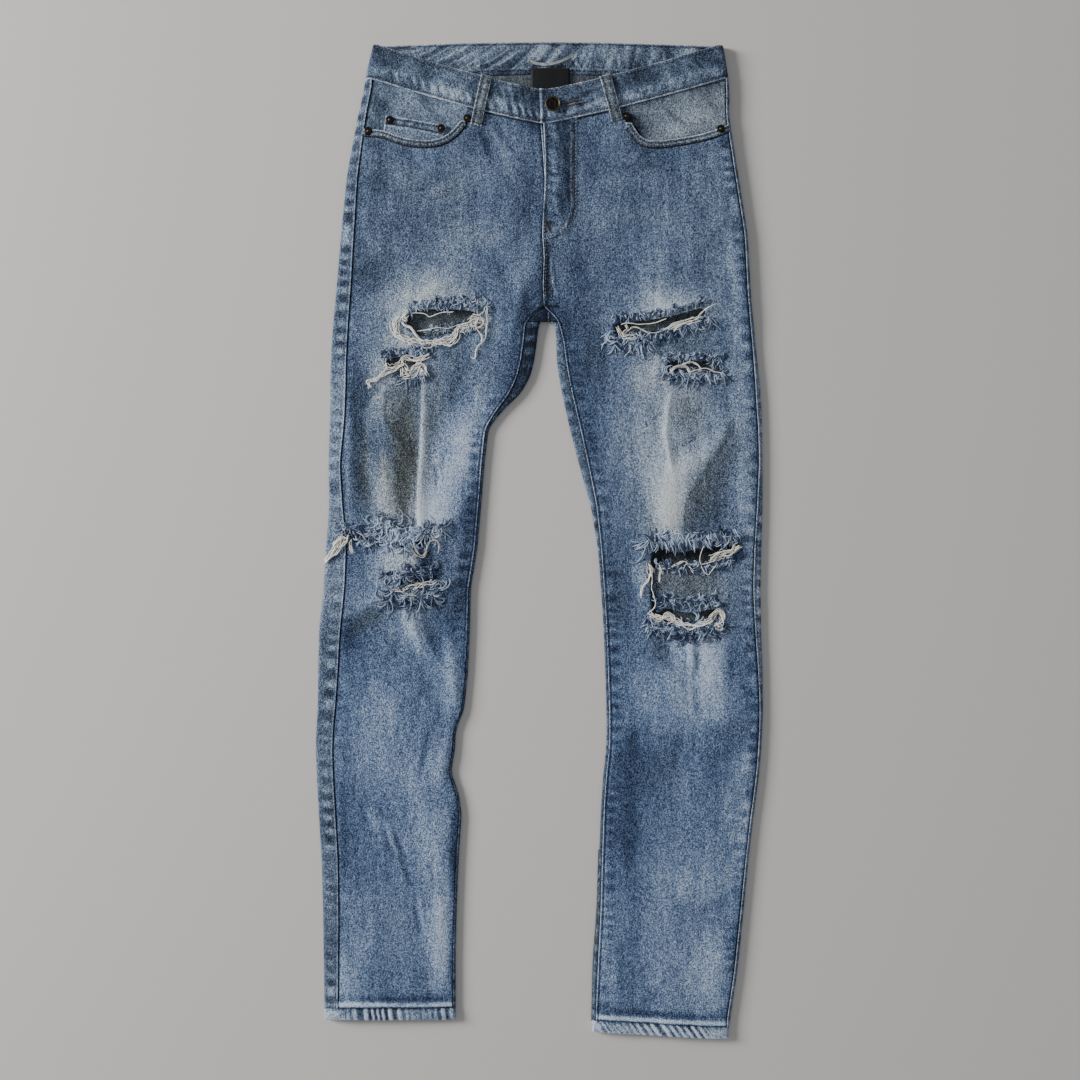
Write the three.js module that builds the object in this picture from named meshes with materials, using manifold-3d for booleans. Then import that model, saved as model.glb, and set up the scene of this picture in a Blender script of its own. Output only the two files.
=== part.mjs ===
// Ripped five-pocket jeans, laid flat on their back with the waist at +Y, in millimetres.
// Left and right are the wearer's, so the right leg lies at -X. The floor is Z = 0.
import * as THREE from "three";
import { mergeVertices } from "three/addons/utils/BufferGeometryUtils.js";
import Module from "manifold-3d";

const wasm = await Module();
wasm.setup();

// Driving dimensions.
const DENIM = 1.4; // one layer of cloth
const BAND_CLOTH = 2.2; // the waistband and the hems, which are folded cloth
const GAP = 0.3; // between pieces at a seam
const EDGE_HEIGHT = 5.4; // a leg's folded edge, both layers and the air in it
const WAIST_EDGE_HEIGHT = 6.6; // the same at the waist, where the seams are thick
const CROWN = 2; // how far a front rises above its edges
const SEAT_LIFT = 1.8; // the seat lies on its patch pockets and belt loops
const WAIST_SIDE = 505.5; // the waist seam at the side, and the side's yoke and hip below it
const YOKE_SIDE = 468;
const HIP = 330;
const CROTCH = 256; // where the four seams of the two legs cross
const LEG_TOP = 243; // the first row at which a leg is a closed tube
const CROTCH_EDGE = 238.5; // where the legs' inner edges have parted
const KNEE_LOW = -300; // below it the hems' slant eases in
const FRONT_DIP = 51; // how far the front waist seam sinks to the centre
const BACK_RISE = 6.5; // how far the back waist seam rises to the centre
const YOKE_DIP = 26; // the yoke's V at the centre back
const BAND_HEIGHT = 37;
const HEM_HEIGHT = 13;
const CENTRE = 5; // X of the centre front and centre back seams
const OPENING_BAND = 8; // the stitched hem of a front pocket's opening
const CUT_LOW = -5; // the reach of a cutting prism in Z
const CUT_HIGH = 30;

// A smooth X at any Y, through [Y, X] points listed from the waist down.
function rail(points) {
  const slopes = points.map((point, i) => {
    const before = points[Math.max(i - 1, 0)];
    const after = points[Math.min(i + 1, points.length - 1)];
    return (after[1] - before[1]) / (after[0] - before[0]);
  });
  return (y) => {
    let i = 0;
    while (i < points.length - 2 && y < points[i + 1][0]) i += 1;
    const [y0, x0] = points[i];
    const [y1, x1] = points[i + 1];
    const span = y1 - y0;
    const t = THREE.MathUtils.clamp((y - y0) / span, 0, 1);
    const rise = t * t * (3 - 2 * t);
    const bend0 = t * (1 - t) * (1 - t) * slopes[i];
    const bend1 = t * t * (t - 1) * slopes[i + 1];
    return x0 + (x1 - x0) * rise + span * (bend0 + bend1);
  };
}

// The outline of each half: its folded outer and inner edges, and how far inside them the seams lie on top.
const RIGHT = {
  name: "right",
  inward: 1,
  hem: -524.5,
  hemSlant: 0,
  outer: rail([
    [548, -181], [527, -187], [482, -195], [450, -203.5], [417, -209.5], [340, -217.5], [280, -222.5],
    [208, -229], [131, -230.5], [85, -232], [54, -230.5], [0, -234], [-77, -239.5], [-105, -243],
    [-180, -243.5], [-218, -246], [-255, -245], [-309, -242], [-364, -239], [-530, -236],
  ]),
  outerWrap: rail([
    [548, 8], [480, 8], [417, 11], [340, 14], [208, 17], [131, 16], [54, 12], [12, 21], [-115, 23],
    [-188, 19], [-364, 18], [-530, 14.5],
  ]),
  inner: rail([
    [LEG_TOP, 4.6], [CROTCH_EDGE, -0.6], [208, -4], [174, -12.5], [151, -30], [134, -51.5], [123, -56], [54, -63], [0, -67],
    [-46, -75], [-115, -77], [-190, -83.5], [-212, -93], [-240, -93], [-262, -98], [-280, -87.5],
    [-300, -85.5], [-355, -89], [-445, -92], [-530, -92],
  ]),
  innerWrap: rail([[LEG_TOP, 18], [CROTCH_EDGE, 15], [171, 14], [149, 9], [132, 3.5], [-530, 3.5]]),
};
const LEFT = {
  name: "left",
  inward: -1,
  hem: -546,
  hemSlant: 8,
  outer: rail([
    [548, 199.5], [534, 203], [490, 208.5], [463, 207.5], [409, 216], [386, 221.5], [339, 228],
    [273, 231.5], [222, 236.5], [151, 243.5], [54, 245], [-63, 242.5], [-165, 245.5], [-210, 244.5],
    [-261, 240.5], [-320, 232.5], [-431, 221.5], [-486, 215.5], [-506, 211], [-524, 209.5], [-548, 205.5],
  ]),
  outerWrap: rail([
    [548, 3.4], [222, 3.4], [151, 5.4], [97, 3.5], [12, 7], [-47, 8], [-98, 6.5], [-199, 3.4], [-548, 3.4],
  ]),
  inner: rail([
    [LEG_TOP, 5.4], [CROTCH_EDGE, 16.6], [205, 18], [172, 22.5], [132, 31], [97, 39.5], [61, 49.5], [32, 57.5], [-13, 64.5],
    [-63, 68], [-114, 71], [-218, 73.5], [-260, 69.5], [-311, 66.5], [-435, 62.5], [-473, 59], [-548, 57.5],
  ]),
  innerWrap: rail([
    [LEG_TOP, 14], [CROTCH_EDGE, 4.2], [213, 9], [150, 11], [110, 11], [54, 8], [12, 3.5], [-435, 3.4], [-465, 5], [-548, 3.4],
  ]),
};

// The largest folds of the two fronts: a line, its height and its half width.
const FOLDS = [
  { from: [-127, 178], to: [-134, 40], height: 2.4, reach: 22 },
  { from: [-176, 110], to: [-170, 30], height: 1.6, reach: 20 },
  { from: [-120, -85], to: [-112, -150], height: 1.8, reach: 24 },
  { from: [-190, -290], to: [-150, -360], height: 1.8, reach: 24 },
  { from: [135, 205], to: [140, 60], height: 2, reach: 24 },
  { from: [186, 128], to: [138, 32], height: 2.4, reach: 22 },
  { from: [165, -110], to: [165, -190], height: 1.8, reach: 26 },
];

const { clamp, lerp, smoothstep } = THREE.MathUtils;
const point = (x, y, z) => new THREE.Vector3(x, y, z);

// 1 where the two halves are joined above the crotch, 0 where each leg is a tube of its own.
const joined = (y) => (y > (CROTCH + LEG_TOP) / 2 ? 1 : 0);
const lift = (y) => SEAT_LIFT * smoothstep(y, 205, 262);
const edgeHeight = (y) => lerp(EDGE_HEIGHT, WAIST_EDGE_HEIGHT, smoothstep(y, HIP, WAIST_SIDE));

// Height that the folds add at a place.
function foldHeight(x, y) {
  let sum = 0;
  for (const { from, to, height, reach } of FOLDS) {
    const line = new THREE.Line3(point(...from, 0), point(...to, 0));
    const here = point(x, y, 0);
    const away = line.closestPointToPoint(here, true, point(0, 0, 0)).distanceTo(here);
    sum += height * (1 - smoothstep(away, 0, reach));
  }
  return sum;
}

// Z of the outer face of a front, `share` of the way from the outer edge to the inner one.
function topZ(side, y, share, x) {
  const whole = smoothstep(y, 200, 300);
  const rise = lerp(Math.sin(Math.PI * share), Math.sin((Math.PI / 2) * share), whole);
  const folds = foldHeight(x, y) * clamp(4 * share, 0, 1) * clamp(4 * (1 - share), 0, 1);
  return lift(y) + edgeHeight(y) + CROWN * rise + folds;
}

// How far a front row sinks below its side point, and a back row, `share` of the way to the centre.
function frontSink(y, share) {
  return FRONT_DIP * share * (1.25 - 0.25 * share) * clamp((y - HIP) / (WAIST_SIDE - HIP), 0, 1);
}
function backSink(y, share) {
  const yokeSink = YOKE_DIP * clamp((y - HIP) / (YOKE_SIDE - HIP), 0, 1);
  const above = clamp((y - YOKE_SIDE) / (WAIST_SIDE - YOKE_SIDE), 0, 1);
  return share * lerp(yokeSink, -BACK_RISE, above);
}
function slant(side, y, share) {
  return side.hemSlant * share * clamp((KNEE_LOW - y) / (KNEE_LOW - side.hem), 0, 1);
}

// X of a share of a row, on the flat between the two rounded edges.
function acrossX(side, y, share) {
  const radius = edgeHeight(y) / 2;
  const start = side.outer(y) + side.inward * radius;
  const end = joined(y) ? CENTRE : side.inner(y) - side.inward * radius;
  return lerp(start, end, share);
}
// The share of a row at which a seam `wrap` inside an edge lies.
function seamShare(side, y, wrap) {
  const radius = edgeHeight(y) / 2;
  const span = Math.abs(acrossX(side, y, 1) - acrossX(side, y, 0));
  return (wrap - radius) / span;
}

// Points of a half's flattened section, `inset` inside its outer face: on top, below, and round the edges.
function onTop(side, y, share, inset) {
  const x = acrossX(side, y, share);
  return point(x, y - frontSink(y, share) + slant(side, y, share), topZ(side, y, share, x) - inset);
}
function below(side, y, share, inset) {
  const x = acrossX(side, y, share);
  return point(x, y - backSink(y, share) + slant(side, y, share), lift(y) + inset);
}
function roundEdge(side, y, share, angle, inset) {
  const radius = edgeHeight(y) / 2;
  const outwards = share ? side.inward : -side.inward;
  const x = acrossX(side, y, share) + outwards * (radius - inset) * Math.cos(angle);
  const z = lift(y) + radius + (radius - inset) * Math.sin(angle);
  return point(x, y + slant(side, y, share), z);
}

const EDGE_ANGLES = [50, 0, -50].map((degrees) => THREE.MathUtils.degToRad(degrees));
const BELOW_SHARES = [0, 0.2, 0.5, 0.8, 1];
const SEAM_STEP = 0.05; // spacing of the points that go round the inner edge, where there is no edge

// A back panel's section: from the side seam on top, round the outer edge, below, and round the inner edge
// to the inseam, or above the crotch to the centre back seam.
function backRow(side, y, inset) {
  const seam = seamShare(side, y, side.outerWrap(y));
  const row = [onTop(side, y, seam, inset), onTop(side, y, 0, inset)];
  row.push(...EDGE_ANGLES.map((angle) => roundEdge(side, y, 0, angle, inset)));
  if (joined(y)) {
    const inshore = BELOW_SHARES.map((share) => share * (1 - 6 * SEAM_STEP));
    const rest = [5, 4, 3, 2].map((step) => 1 - step * SEAM_STEP);
    row.push(...[...inshore, ...rest].map((share) => below(side, y, share, inset)));
    const last = below(side, y, 1, inset);
    last.x -= (side.inward * GAP) / 2;
    row.push(last);
  } else {
    row.push(...BELOW_SHARES.map((share) => below(side, y, share, inset)));
    row.push(...[...EDGE_ANGLES].reverse().map((angle) => roundEdge(side, y, 1, angle, inset)));
    row.push(onTop(side, y, 1, inset));
    row.push(onTop(side, y, 1 - innerSeam(side, y), inset));
  }
  return row;
}
const innerSeam = (side, y) => seamShare(side, y, side.innerWrap(y));

// A front panel's section, `out` above its outer face where another piece lies on it.
const FRONT_STEPS = 10;
function frontRow(side, y, out) {
  const span = Math.abs(acrossX(side, y, 1) - acrossX(side, y, 0));
  const start = seamShare(side, y, side.outerWrap(y) + GAP);
  const end = joined(y) ? 1 - GAP / 2 / span : 1 - seamShare(side, y, side.innerWrap(y) + GAP);
  const shares = Array.from({ length: FRONT_STEPS + 1 }, (_, i) => lerp(start, end, i / FRONT_STEPS));
  return shares.map((share) => onTop(side, y, share, -out));
}

// A closed wall between two grids of points, the outer face and the inner one. A ring closes on itself.
function wall(outer, inner, ring = false) {
  const rows = outer.length;
  const columns = outer[0].length;
  const positions = [...outer.flat(), ...inner.flat()].flatMap((p) => [p.x, p.y, p.z]);
  const index = [];
  const at = (layer, i, j) => (layer * rows + i) * columns + (j % columns);
  const quad = (a, b, c, d) => index.push(a, b, c, a, c, d);
  const lastColumn = ring ? columns : columns - 1;
  for (let j = 0; j < lastColumn; j += 1) {
    for (let i = 0; i < rows - 1; i += 1) {
      quad(at(0, i, j), at(0, i + 1, j), at(0, i + 1, j + 1), at(0, i, j + 1));
      quad(at(1, i, j), at(1, i, j + 1), at(1, i + 1, j + 1), at(1, i + 1, j));
    }
    quad(at(0, 0, j), at(0, 0, j + 1), at(1, 0, j + 1), at(1, 0, j));
    quad(at(0, rows - 1, j), at(1, rows - 1, j), at(1, rows - 1, j + 1), at(0, rows - 1, j + 1));
  }
  for (let i = 0; i < rows - 1 && !ring; i += 1) {
    quad(at(0, i, 0), at(1, i, 0), at(1, i + 1, 0), at(0, i + 1, 0));
    const end = columns - 1;
    quad(at(0, i, end), at(0, i + 1, end), at(1, i + 1, end), at(1, i, end));
  }
  const geometry = new THREE.BufferGeometry();
  geometry.setAttribute("position", new THREE.Float32BufferAttribute(positions, 3));
  geometry.setIndex(index);
  return facingOut(geometry);
}

// Turns a closed mesh's faces round if they point inwards.
function facingOut(geometry) {
  const p = geometry.getAttribute("position");
  const index = geometry.getIndex().array;
  const corner = [point(), point(), point()];
  let volume = 0;
  for (let i = 0; i < index.length; i += 3) {
    corner.forEach((c, k) => c.fromBufferAttribute(p, index[i + k]));
    volume += corner[0].dot(corner[1].clone().cross(corner[2])) / 6;
  }
  if (volume < 0) {
    for (let i = 0; i < index.length; i += 3) {
      [index[i + 1], index[i + 2]] = [index[i + 2], index[i + 1]];
    }
  }
  return geometry;
}

// Solids that can be cut and joined, and back.
function solid(geometry) {
  const bare = geometry.clone();
  bare.deleteAttribute("normal");
  bare.deleteAttribute("uv");
  const merged = facingOut(mergeVertices(bare, 1e-4));
  const vertProperties = new Float32Array(merged.getAttribute("position").array);
  const triVerts = new Uint32Array(merged.getIndex().array);
  return new wasm.Manifold(new wasm.Mesh({ numProp: 3, vertProperties, triVerts }));
}
function geometryOf(manifold) {
  const mesh = manifold.getMesh();
  const geometry = new THREE.BufferGeometry();
  geometry.setAttribute("position", new THREE.Float32BufferAttribute(mesh.vertProperties, 3));
  geometry.setIndex(new THREE.BufferAttribute(mesh.triVerts, 1));
  return geometry;
}
// A prism right through the cloth over an outline of [X, Y] points.
function prism(outline) {
  const shape = new THREE.Shape(outline.map(([x, y]) => new THREE.Vector2(x, y)));
  const geometry = new THREE.ExtrudeGeometry(shape, { depth: CUT_HIGH - CUT_LOW, bevelEnabled: false });
  return solid(geometry.translate(0, 0, CUT_LOW));
}
// A smooth line through [X, Y] points, moved `aside` to its right.
function smoothLine(points, steps, aside = 0) {
  const curve = new THREE.SplineCurve(points.map(([x, y]) => new THREE.Vector2(x, y)));
  return Array.from({ length: steps + 1 }, (_, i) => {
    const at = curve.getPoint(i / steps);
    const tangent = curve.getTangent(i / steps);
    return [at.x + tangent.y * aside, at.y - tangent.x * aside];
  });
}

// Rows of Y from the waist to the hem, closer together at the crotch and where an edge turns fast.
function rowsBetween(from, to, step) {
  const count = Math.max(1, Math.round((from - to) / step));
  return Array.from({ length: count + 1 }, (_, i) => lerp(from, to, i / count));
}
const YOKE_ROWS = [WAIST_SIDE, (WAIST_SIDE + YOKE_SIDE) / 2, YOKE_SIDE];
function legRows(side) {
  const hemTop = side.hem + HEM_HEIGHT + GAP;
  return [
    ...rowsBetween(YOKE_SIDE - GAP, CROTCH + 12, 66),
    CROTCH,
    LEG_TOP,
    ...rowsBetween(CROTCH_EDGE, 123, 18),
    ...rowsBetween(85, -145, 46),
    ...rowsBetween(-185, KNEE_LOW, 23),
    ...rowsBetween(-350, hemTop, 58),
  ];
}

// The front panel as an uncut skin, and pieces that lie on it, each over an outline.
function frontSkin(side, out, thickness) {
  const rows = [...YOKE_ROWS, ...legRows(side)];
  const outer = rows.map((y) => frontRow(side, y, out + thickness));
  const inner = rows.map((y) => frontRow(side, y, out));
  return solid(wall(outer, inner));
}
const onFront = (side, out, thickness, outline) => frontSkin(side, out, thickness).intersect(prism(outline));

// Front pocket openings: the edge of the front panel from the side seam to the waist seam.
RIGHT.opening = [
  [-212, 450], [-171.5, 447.5], [-153.5, 440.5], [-127, 436], [-105, 440], [-91.5, 451], [-83.5, 463.5], [-77, 486],
];
LEFT.opening = [
  [224, 459], [206, 454], [180.5, 444.5], [147, 438], [121.5, 436], [108.5, 441.5], [99.5, 457], [91, 486],
];
const OPENING_STEPS = 16;
function openingOutline(side, inset) {
  const edge = smoothLine(side.opening, OPENING_STEPS, side.inward * -inset);
  const above = 540;
  return [...edge, [edge.at(-1)[0], above], [edge[0][0], above]];
}
function openingBandOutline(side) {
  const edge = smoothLine(side.opening, OPENING_STEPS);
  const lower = smoothLine(side.opening, OPENING_STEPS, side.inward * OPENING_BAND);
  return [...edge, ...lower.reverse()];
}

// The rips, each the outline of the cloth that is gone.
const RIPS = {
  right: [
    [[-149, 244], [-138, 251], [-112, 250], [-85, 250], [-63, 249], [-66, 230], [-84, 225], [-118, 218], [-145, 228]],
    [[-167, 198], [-146, 201], [-128, 199], [-131, 186], [-150, 183], [-165, 187]],
    [[-212, 12], [-188, 4], [-172, 8], [-140, 1], [-122, 9], [-112, 13], [-124, -3], [-142, -9], [-172, -2], [-200, -2]],
    [[-153, -41], [-136, -38], [-119, -42], [-122, -52], [-140, -54], [-152, -50]],
  ],
  left: [
    [[83, 237], [118, 244], [150, 252], [181, 259], [186, 246], [158, 236], [120, 227], [84, 222]],
    [[141, 196], [165, 197], [192, 195], [196, 184], [168, 181], [143, 183]],
    [
      [121, -10], [150, -13], [180, -8], [214, -2], [212, -14], [182, -24], [150, -26], [127, -27],
      [127, -76], [140, -74], [165, -79], [192, -75], [194, -88], [165, -93], [138, -89], [121, -80],
    ],
  ],
};

const COIN_POCKET = [[-168, 464], [-102.5, 452.5], [-106.5, 441.8], [-127, 438], [-152.5, 442.8], [-170, 449.5]];

// The fly placket: straight down from the waist seam, then round to the foot of the fly.
const FLY = { right: 41, top: 456, turn: 366, foot: 330 };
function flyOutline() {
  const start = Math.PI * 2;
  const quarter = Array.from({ length: 7 }, (_, i) => start - (i / 6) * (Math.PI / 2));
  const round = quarter.map((angle) => [
    CENTRE + GAP + (FLY.right - CENTRE - GAP) * Math.cos(angle),
    FLY.turn + (FLY.turn - FLY.foot) * Math.sin(angle),
  ]);
  return [[CENTRE + GAP, FLY.top + 2], [FLY.right, FLY.top], ...round];
}

// The waistband: from the centre front round the right side, the back and the left side, and back.
function waistbandRow(y, inset) {
  const proud = 0.5; // how far the band stands above the fronts
  const shares = [0, 0.12, 0.25, 0.4, 0.6, 0.8, 1];
  const half = (side) => [
    ...[...shares].reverse().map((share) => bandTop(side, y, share, inset - proud)),
    ...EDGE_ANGLES.map((angle) => roundEdge(side, y, 0, angle, inset)),
    ...shares.map((share) => bandBelow(side, y, share, inset)),
  ];
  const right = half(RIGHT);
  const left = half(LEFT).reverse();
  right[0].x -= GAP;
  left[left.length - 1].x += GAP;
  return [...right, ...left.slice(1)];
}
function bandTop(side, y, share, inset) {
  const seam = onTop(side, WAIST_SIDE, share, inset);
  return point(acrossX(side, y, share), y - frontSink(WAIST_SIDE, share), seam.z);
}
function bandBelow(side, y, share, inset) {
  const low = BAND_HEIGHT - 1; // the side's band height, from which the back seam rises
  const up = (y - WAIST_SIDE) / low;
  const rise = BACK_RISE * share * (1 - up) + 5 * Math.sin((Math.PI / 2) * share) * up;
  return point(acrossX(side, y, share), y + rise, lift(y) + inset);
}
function waistband() {
  const rows = [WAIST_SIDE + GAP, WAIST_SIDE + BAND_HEIGHT / 2, WAIST_SIDE + BAND_HEIGHT];
  return wall(rows.map((y) => waistbandRow(y, 0)), rows.map((y) => waistbandRow(y, BAND_CLOTH)));
}

// Back panels and yokes.
function backPanel(side) {
  const rows = legRows(side);
  return wall(rows.map((y) => backRow(side, y, 0)), rows.map((y) => backRow(side, y, DENIM)));
}
function yoke(side) {
  return wall(YOKE_ROWS.map((y) => backRow(side, y, 0)), YOKE_ROWS.map((y) => backRow(side, y, DENIM)));
}

// A hem: a ring of folded cloth round the foot of a leg.
function hemRow(side, y, inset) {
  const shares = [0, 0.17, 0.33, 0.5, 0.67, 0.83, 1];
  return [
    ...shares.map((share) => onTop(side, y, share, inset)),
    ...EDGE_ANGLES.map((angle) => roundEdge(side, y, 1, angle, inset)),
    ...[...shares].reverse().map((share) => below(side, y, share, inset)),
    ...[...EDGE_ANGLES].reverse().map((angle) => roundEdge(side, y, 0, angle, inset)),
  ];
}
function hem(side) {
  const rows = [side.hem + HEM_HEIGHT, side.hem];
  return wall(rows.map((y) => hemRow(side, y, 0)), rows.map((y) => hemRow(side, y, BAND_CLOTH)), true);
}

// A strap of rows across: each row is [X, Y, Z of its top] at the middle, and lies square to the strap's run.
function strap(rows, width, thickness) {
  const middle = rows.map((row) => point(...row));
  const faces = [0, thickness].map((down) =>
    middle.map((at, i) => {
      const run = middle[Math.min(i + 1, middle.length - 1)].clone().sub(middle[Math.max(i - 1, 0)]);
      const across = point(run.y, -run.x, 0).setLength(width / 2);
      return [at.clone().sub(across), at.clone().add(across)].map((p) => p.setZ(p.z - down));
    }),
  );
  return wall(faces[0], faces[1]);
}

const LOOP_WIDTH = 12;
const LOOP_CLOTH = 1.4;
const LOOP_STAND = 1.3; // the room under a front loop, which clears the hem of the pocket opening
// A front belt loop stands over the waistband, from its foot on the front panel to the band's top edge.
function frontLoop(side, foot, head) {
  const share = (foot[0] - acrossX(side, WAIST_SIDE, 0)) / (CENTRE - acrossX(side, WAIST_SIDE, 0));
  const seamZ = bandTop(side, WAIST_SIDE, share, -0.5).z + LOOP_STAND + LOOP_CLOTH;
  const at = (t) => [lerp(foot[0], head[0], t), lerp(foot[1], head[1], t), seamZ + 1.2 * Math.sin(Math.PI * t)];
  return strap([0, 0.12, 0.5, 0.88, 1].map(at), LOOP_WIDTH, LOOP_CLOTH);
}
function backLoop(x) {
  const foot = 502;
  const head = 544;
  return strap([[x, foot, LOOP_CLOTH], [x, head, LOOP_CLOTH]], LOOP_WIDTH, LOOP_CLOTH);
}

// A patch pocket lies flat on the floor under the seat: square shoulders and a point at the foot.
function backPocket(middle) {
  const half = 72;
  const shape = new THREE.Shape();
  shape.moveTo(middle - half, 425);
  shape.lineTo(middle + half, 425);
  shape.lineTo(middle + half - 8, 298);
  shape.lineTo(middle, 268);
  shape.lineTo(middle - half + 8, 298);
  return new THREE.ExtrudeGeometry(shape, { depth: DENIM, bevelEnabled: false });
}

// The label and the hanger loop lie on the inside of the back, at the centre.
function label() {
  const z = SEAT_LIFT + BAND_CLOTH + GAP + 0.7;
  return strap([[12, 495.5, z], [12, 517.5, z]], 42, 0.7);
}
function hangerLoop() {
  const z = SEAT_LIFT + BAND_CLOTH + GAP + 0.9;
  const line = smoothLine([[-10, 526], [5, 520.8], [22, 524], [37, 531]], 8);
  return strap(line.map(([x, y]) => [x, y, z]), 4, 0.9);
}

// The button: a stud with a raised rim and a domed middle, on a foot that stands on the band.
function button() {
  const profile = [
    [0, 0], [3.5, 0], [3.5, 1.6], [8, 1.6], [8.5, 2.2], [8.4, 3.4], [7.6, 4], [6.4, 3.5], [4.5, 3.3], [2.2, 3.7], [0, 3.9],
  ];
  return lathe(profile, 20);
}
function rivet() {
  return lathe([[0, 0], [4.4, 0], [4.5, 0.5], [3.6, 1.1], [2.1, 1.2], [1.7, 1.7], [0, 1.9]], 12);
}
// A turned piece, with its axis along Z.
function lathe(profile, sides) {
  const outline = profile.map(([radius, height]) => new THREE.Vector2(radius, height));
  const geometry = new THREE.LatheGeometry(outline, sides).rotateX(Math.PI / 2);
  return geometryOf(solid(geometry));
}

// Finishes.
const finish = (color, roughness, metalness = 0) => () =>
  new THREE.MeshStandardMaterial({ color, roughness, metalness });
const denim = finish("#7d93b2", 0.9);
const fadedDenim = finish("#9fb0b8", 0.9);
const seamDenim = finish("#6a80a3", 0.9);
const blackCloth = finish("#18191b", 0.85);
const tape = finish("#b9b4a6", 0.9);
const brass = finish("#5c5448", 0.45, 0.8);

const jeans = new THREE.Group();
function add(name, geometry, material) {
  const mesh = new THREE.Mesh(geometry, material());
  mesh.name = name;
  jeans.add(mesh);
  return mesh;
}
// A turned fastening, standing on the cloth under its middle.
function addFastening(name, geometry, [x, y], z) {
  add(name, geometry, brass).position.set(x, y, z);
}
// The outer face of a front under a place.
function frontTop(side, x, y) {
  const start = acrossX(side, y, 0);
  const share = (x - start) / (acrossX(side, y, 1) - start);
  return topZ(side, y, share, x);
}

for (const side of [RIGHT, LEFT]) {
  const gone = [openingOutline(side, 0), ...RIPS[side.name]].map(prism);
  const front = gone.reduce((cloth, cut) => cloth.subtract(cut), frontSkin(side, -DENIM, DENIM));
  add(`front_${side.name}`, geometryOf(front), denim);
  add(`back_${side.name}`, backPanel(side), denim);
  add(`yoke_${side.name}`, yoke(side), denim);
  add(`back_pocket_${side.name}`, backPocket(CENTRE - side.inward * 106), denim);
  const facing = onFront(side, -DENIM, DENIM, openingOutline(side, GAP));
  add(`pocket_facing_${side.name}`, geometryOf(facing), fadedDenim);
  const band = onFront(side, GAP, DENIM, openingBandOutline(side));
  add(`pocket_band_${side.name}`, geometryOf(band), seamDenim);
  add(`hem_${side.name}`, hem(side), seamDenim);
}
add("waistband", waistband(), seamDenim);
add("fly_placket", geometryOf(onFront(LEFT, GAP, DENIM, flyOutline())), denim);
add("coin_pocket", geometryOf(onFront(RIGHT, GAP, DENIM, COIN_POCKET)), denim);
add("belt_loop_front_right", frontLoop(RIGHT, [-69.5, 454], [-58, 507.5]), seamDenim);
add("belt_loop_front_left", frontLoop(LEFT, [84.5, 459], [71, 507.5]), seamDenim);
add("belt_loop_back_right", backLoop(-149), seamDenim);
add("belt_loop_back_centre", backLoop(CENTRE), seamDenim);
add("belt_loop_back_left", backLoop(172), seamDenim);
add("label", label(), blackCloth);
add("hanger_loop", hangerLoop(), tape);

const BUTTON_AT = [14.5, 475.5];
addFastening("button", button(), BUTTON_AT, bandTop(LEFT, WAIST_SIDE, 0.95, -0.5).z + GAP);
const OUT = 2 * GAP + DENIM; // rivets stand on the pocket bands and the coin pocket
const RIVETS = {
  rivet_right_side: [RIGHT, [-187, 447]],
  rivet_right_waist: [RIGHT, [-79, 461]],
  rivet_coin_outer: [RIGHT, [-163, 459]],
  rivet_coin_inner: [RIGHT, [-108.5, 449.5]],
  rivet_left_waist: [LEFT, [94.5, 463]],
  rivet_left_side: [LEFT, [198, 450]],
};
for (const [name, [side, at]] of Object.entries(RIVETS)) {
  addFastening(name, rivet(), at, frontTop(side, ...at) + OUT + GAP);
}

export default jeans;
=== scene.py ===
# %% [markdown]
# # Ripped jeans, laid flat
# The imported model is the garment's construction: it holds every panel, band and loop at its real size.
# Here each panel gets its looks. The frame is loaded first, and nothing in it is moved.

import bpy
import numpy as np
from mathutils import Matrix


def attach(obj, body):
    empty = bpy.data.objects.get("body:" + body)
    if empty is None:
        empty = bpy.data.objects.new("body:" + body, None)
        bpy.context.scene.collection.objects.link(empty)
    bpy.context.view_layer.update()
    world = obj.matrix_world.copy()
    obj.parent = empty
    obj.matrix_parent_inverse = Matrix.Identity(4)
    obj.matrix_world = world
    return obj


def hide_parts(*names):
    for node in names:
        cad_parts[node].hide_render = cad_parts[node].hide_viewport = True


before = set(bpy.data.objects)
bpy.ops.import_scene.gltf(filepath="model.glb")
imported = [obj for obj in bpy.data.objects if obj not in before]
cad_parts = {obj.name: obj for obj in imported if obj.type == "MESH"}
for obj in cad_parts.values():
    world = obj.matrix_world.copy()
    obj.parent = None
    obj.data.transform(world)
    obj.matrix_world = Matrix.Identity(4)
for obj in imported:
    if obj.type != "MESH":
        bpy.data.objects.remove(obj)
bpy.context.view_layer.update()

print("pieces in the frame:", len(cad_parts))

# %% [markdown]
# ## Units, chance and light
# All sizes below are millimetres, as on a cutting table, and turn into metres when a mesh is made.
# One seeded generator gives all the irregularity, so the garment comes out the same each time.

# %% Units and chance
MM = 0.001
chance = np.random.default_rng(11)


def smoothstep(low, high, value):
    share = np.clip((np.asarray(value, float) - low) / (high - low), 0, 1)
    return share * share * (3 - 2 * share)


# %% [markdown]
# ## Camera and lights
# The garment lies on a floor and is looked at straight down. A big soft panel well off to the left rakes
# over the cloth, so that each fold has a light side and a shaded one, and a pale world fills the shadows.

# %% Camera
FRAME_WIDTH = 1186.5
LENS, SENSOR = 39.0, 36.0
CLOTH_TOP = 2.5
camera_data = bpy.data.cameras.new("camera")
camera_data.lens = LENS
camera_data.sensor_width = SENSOR
camera = bpy.data.objects.new("camera", camera_data)
camera.location = (0.0004, 0.0008, (FRAME_WIDTH * LENS / SENSOR + CLOTH_TOP) * MM)
bpy.context.scene.collection.objects.link(camera)
bpy.context.scene.camera = camera
print("camera height", round(camera.location.z, 3), "m")


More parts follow.
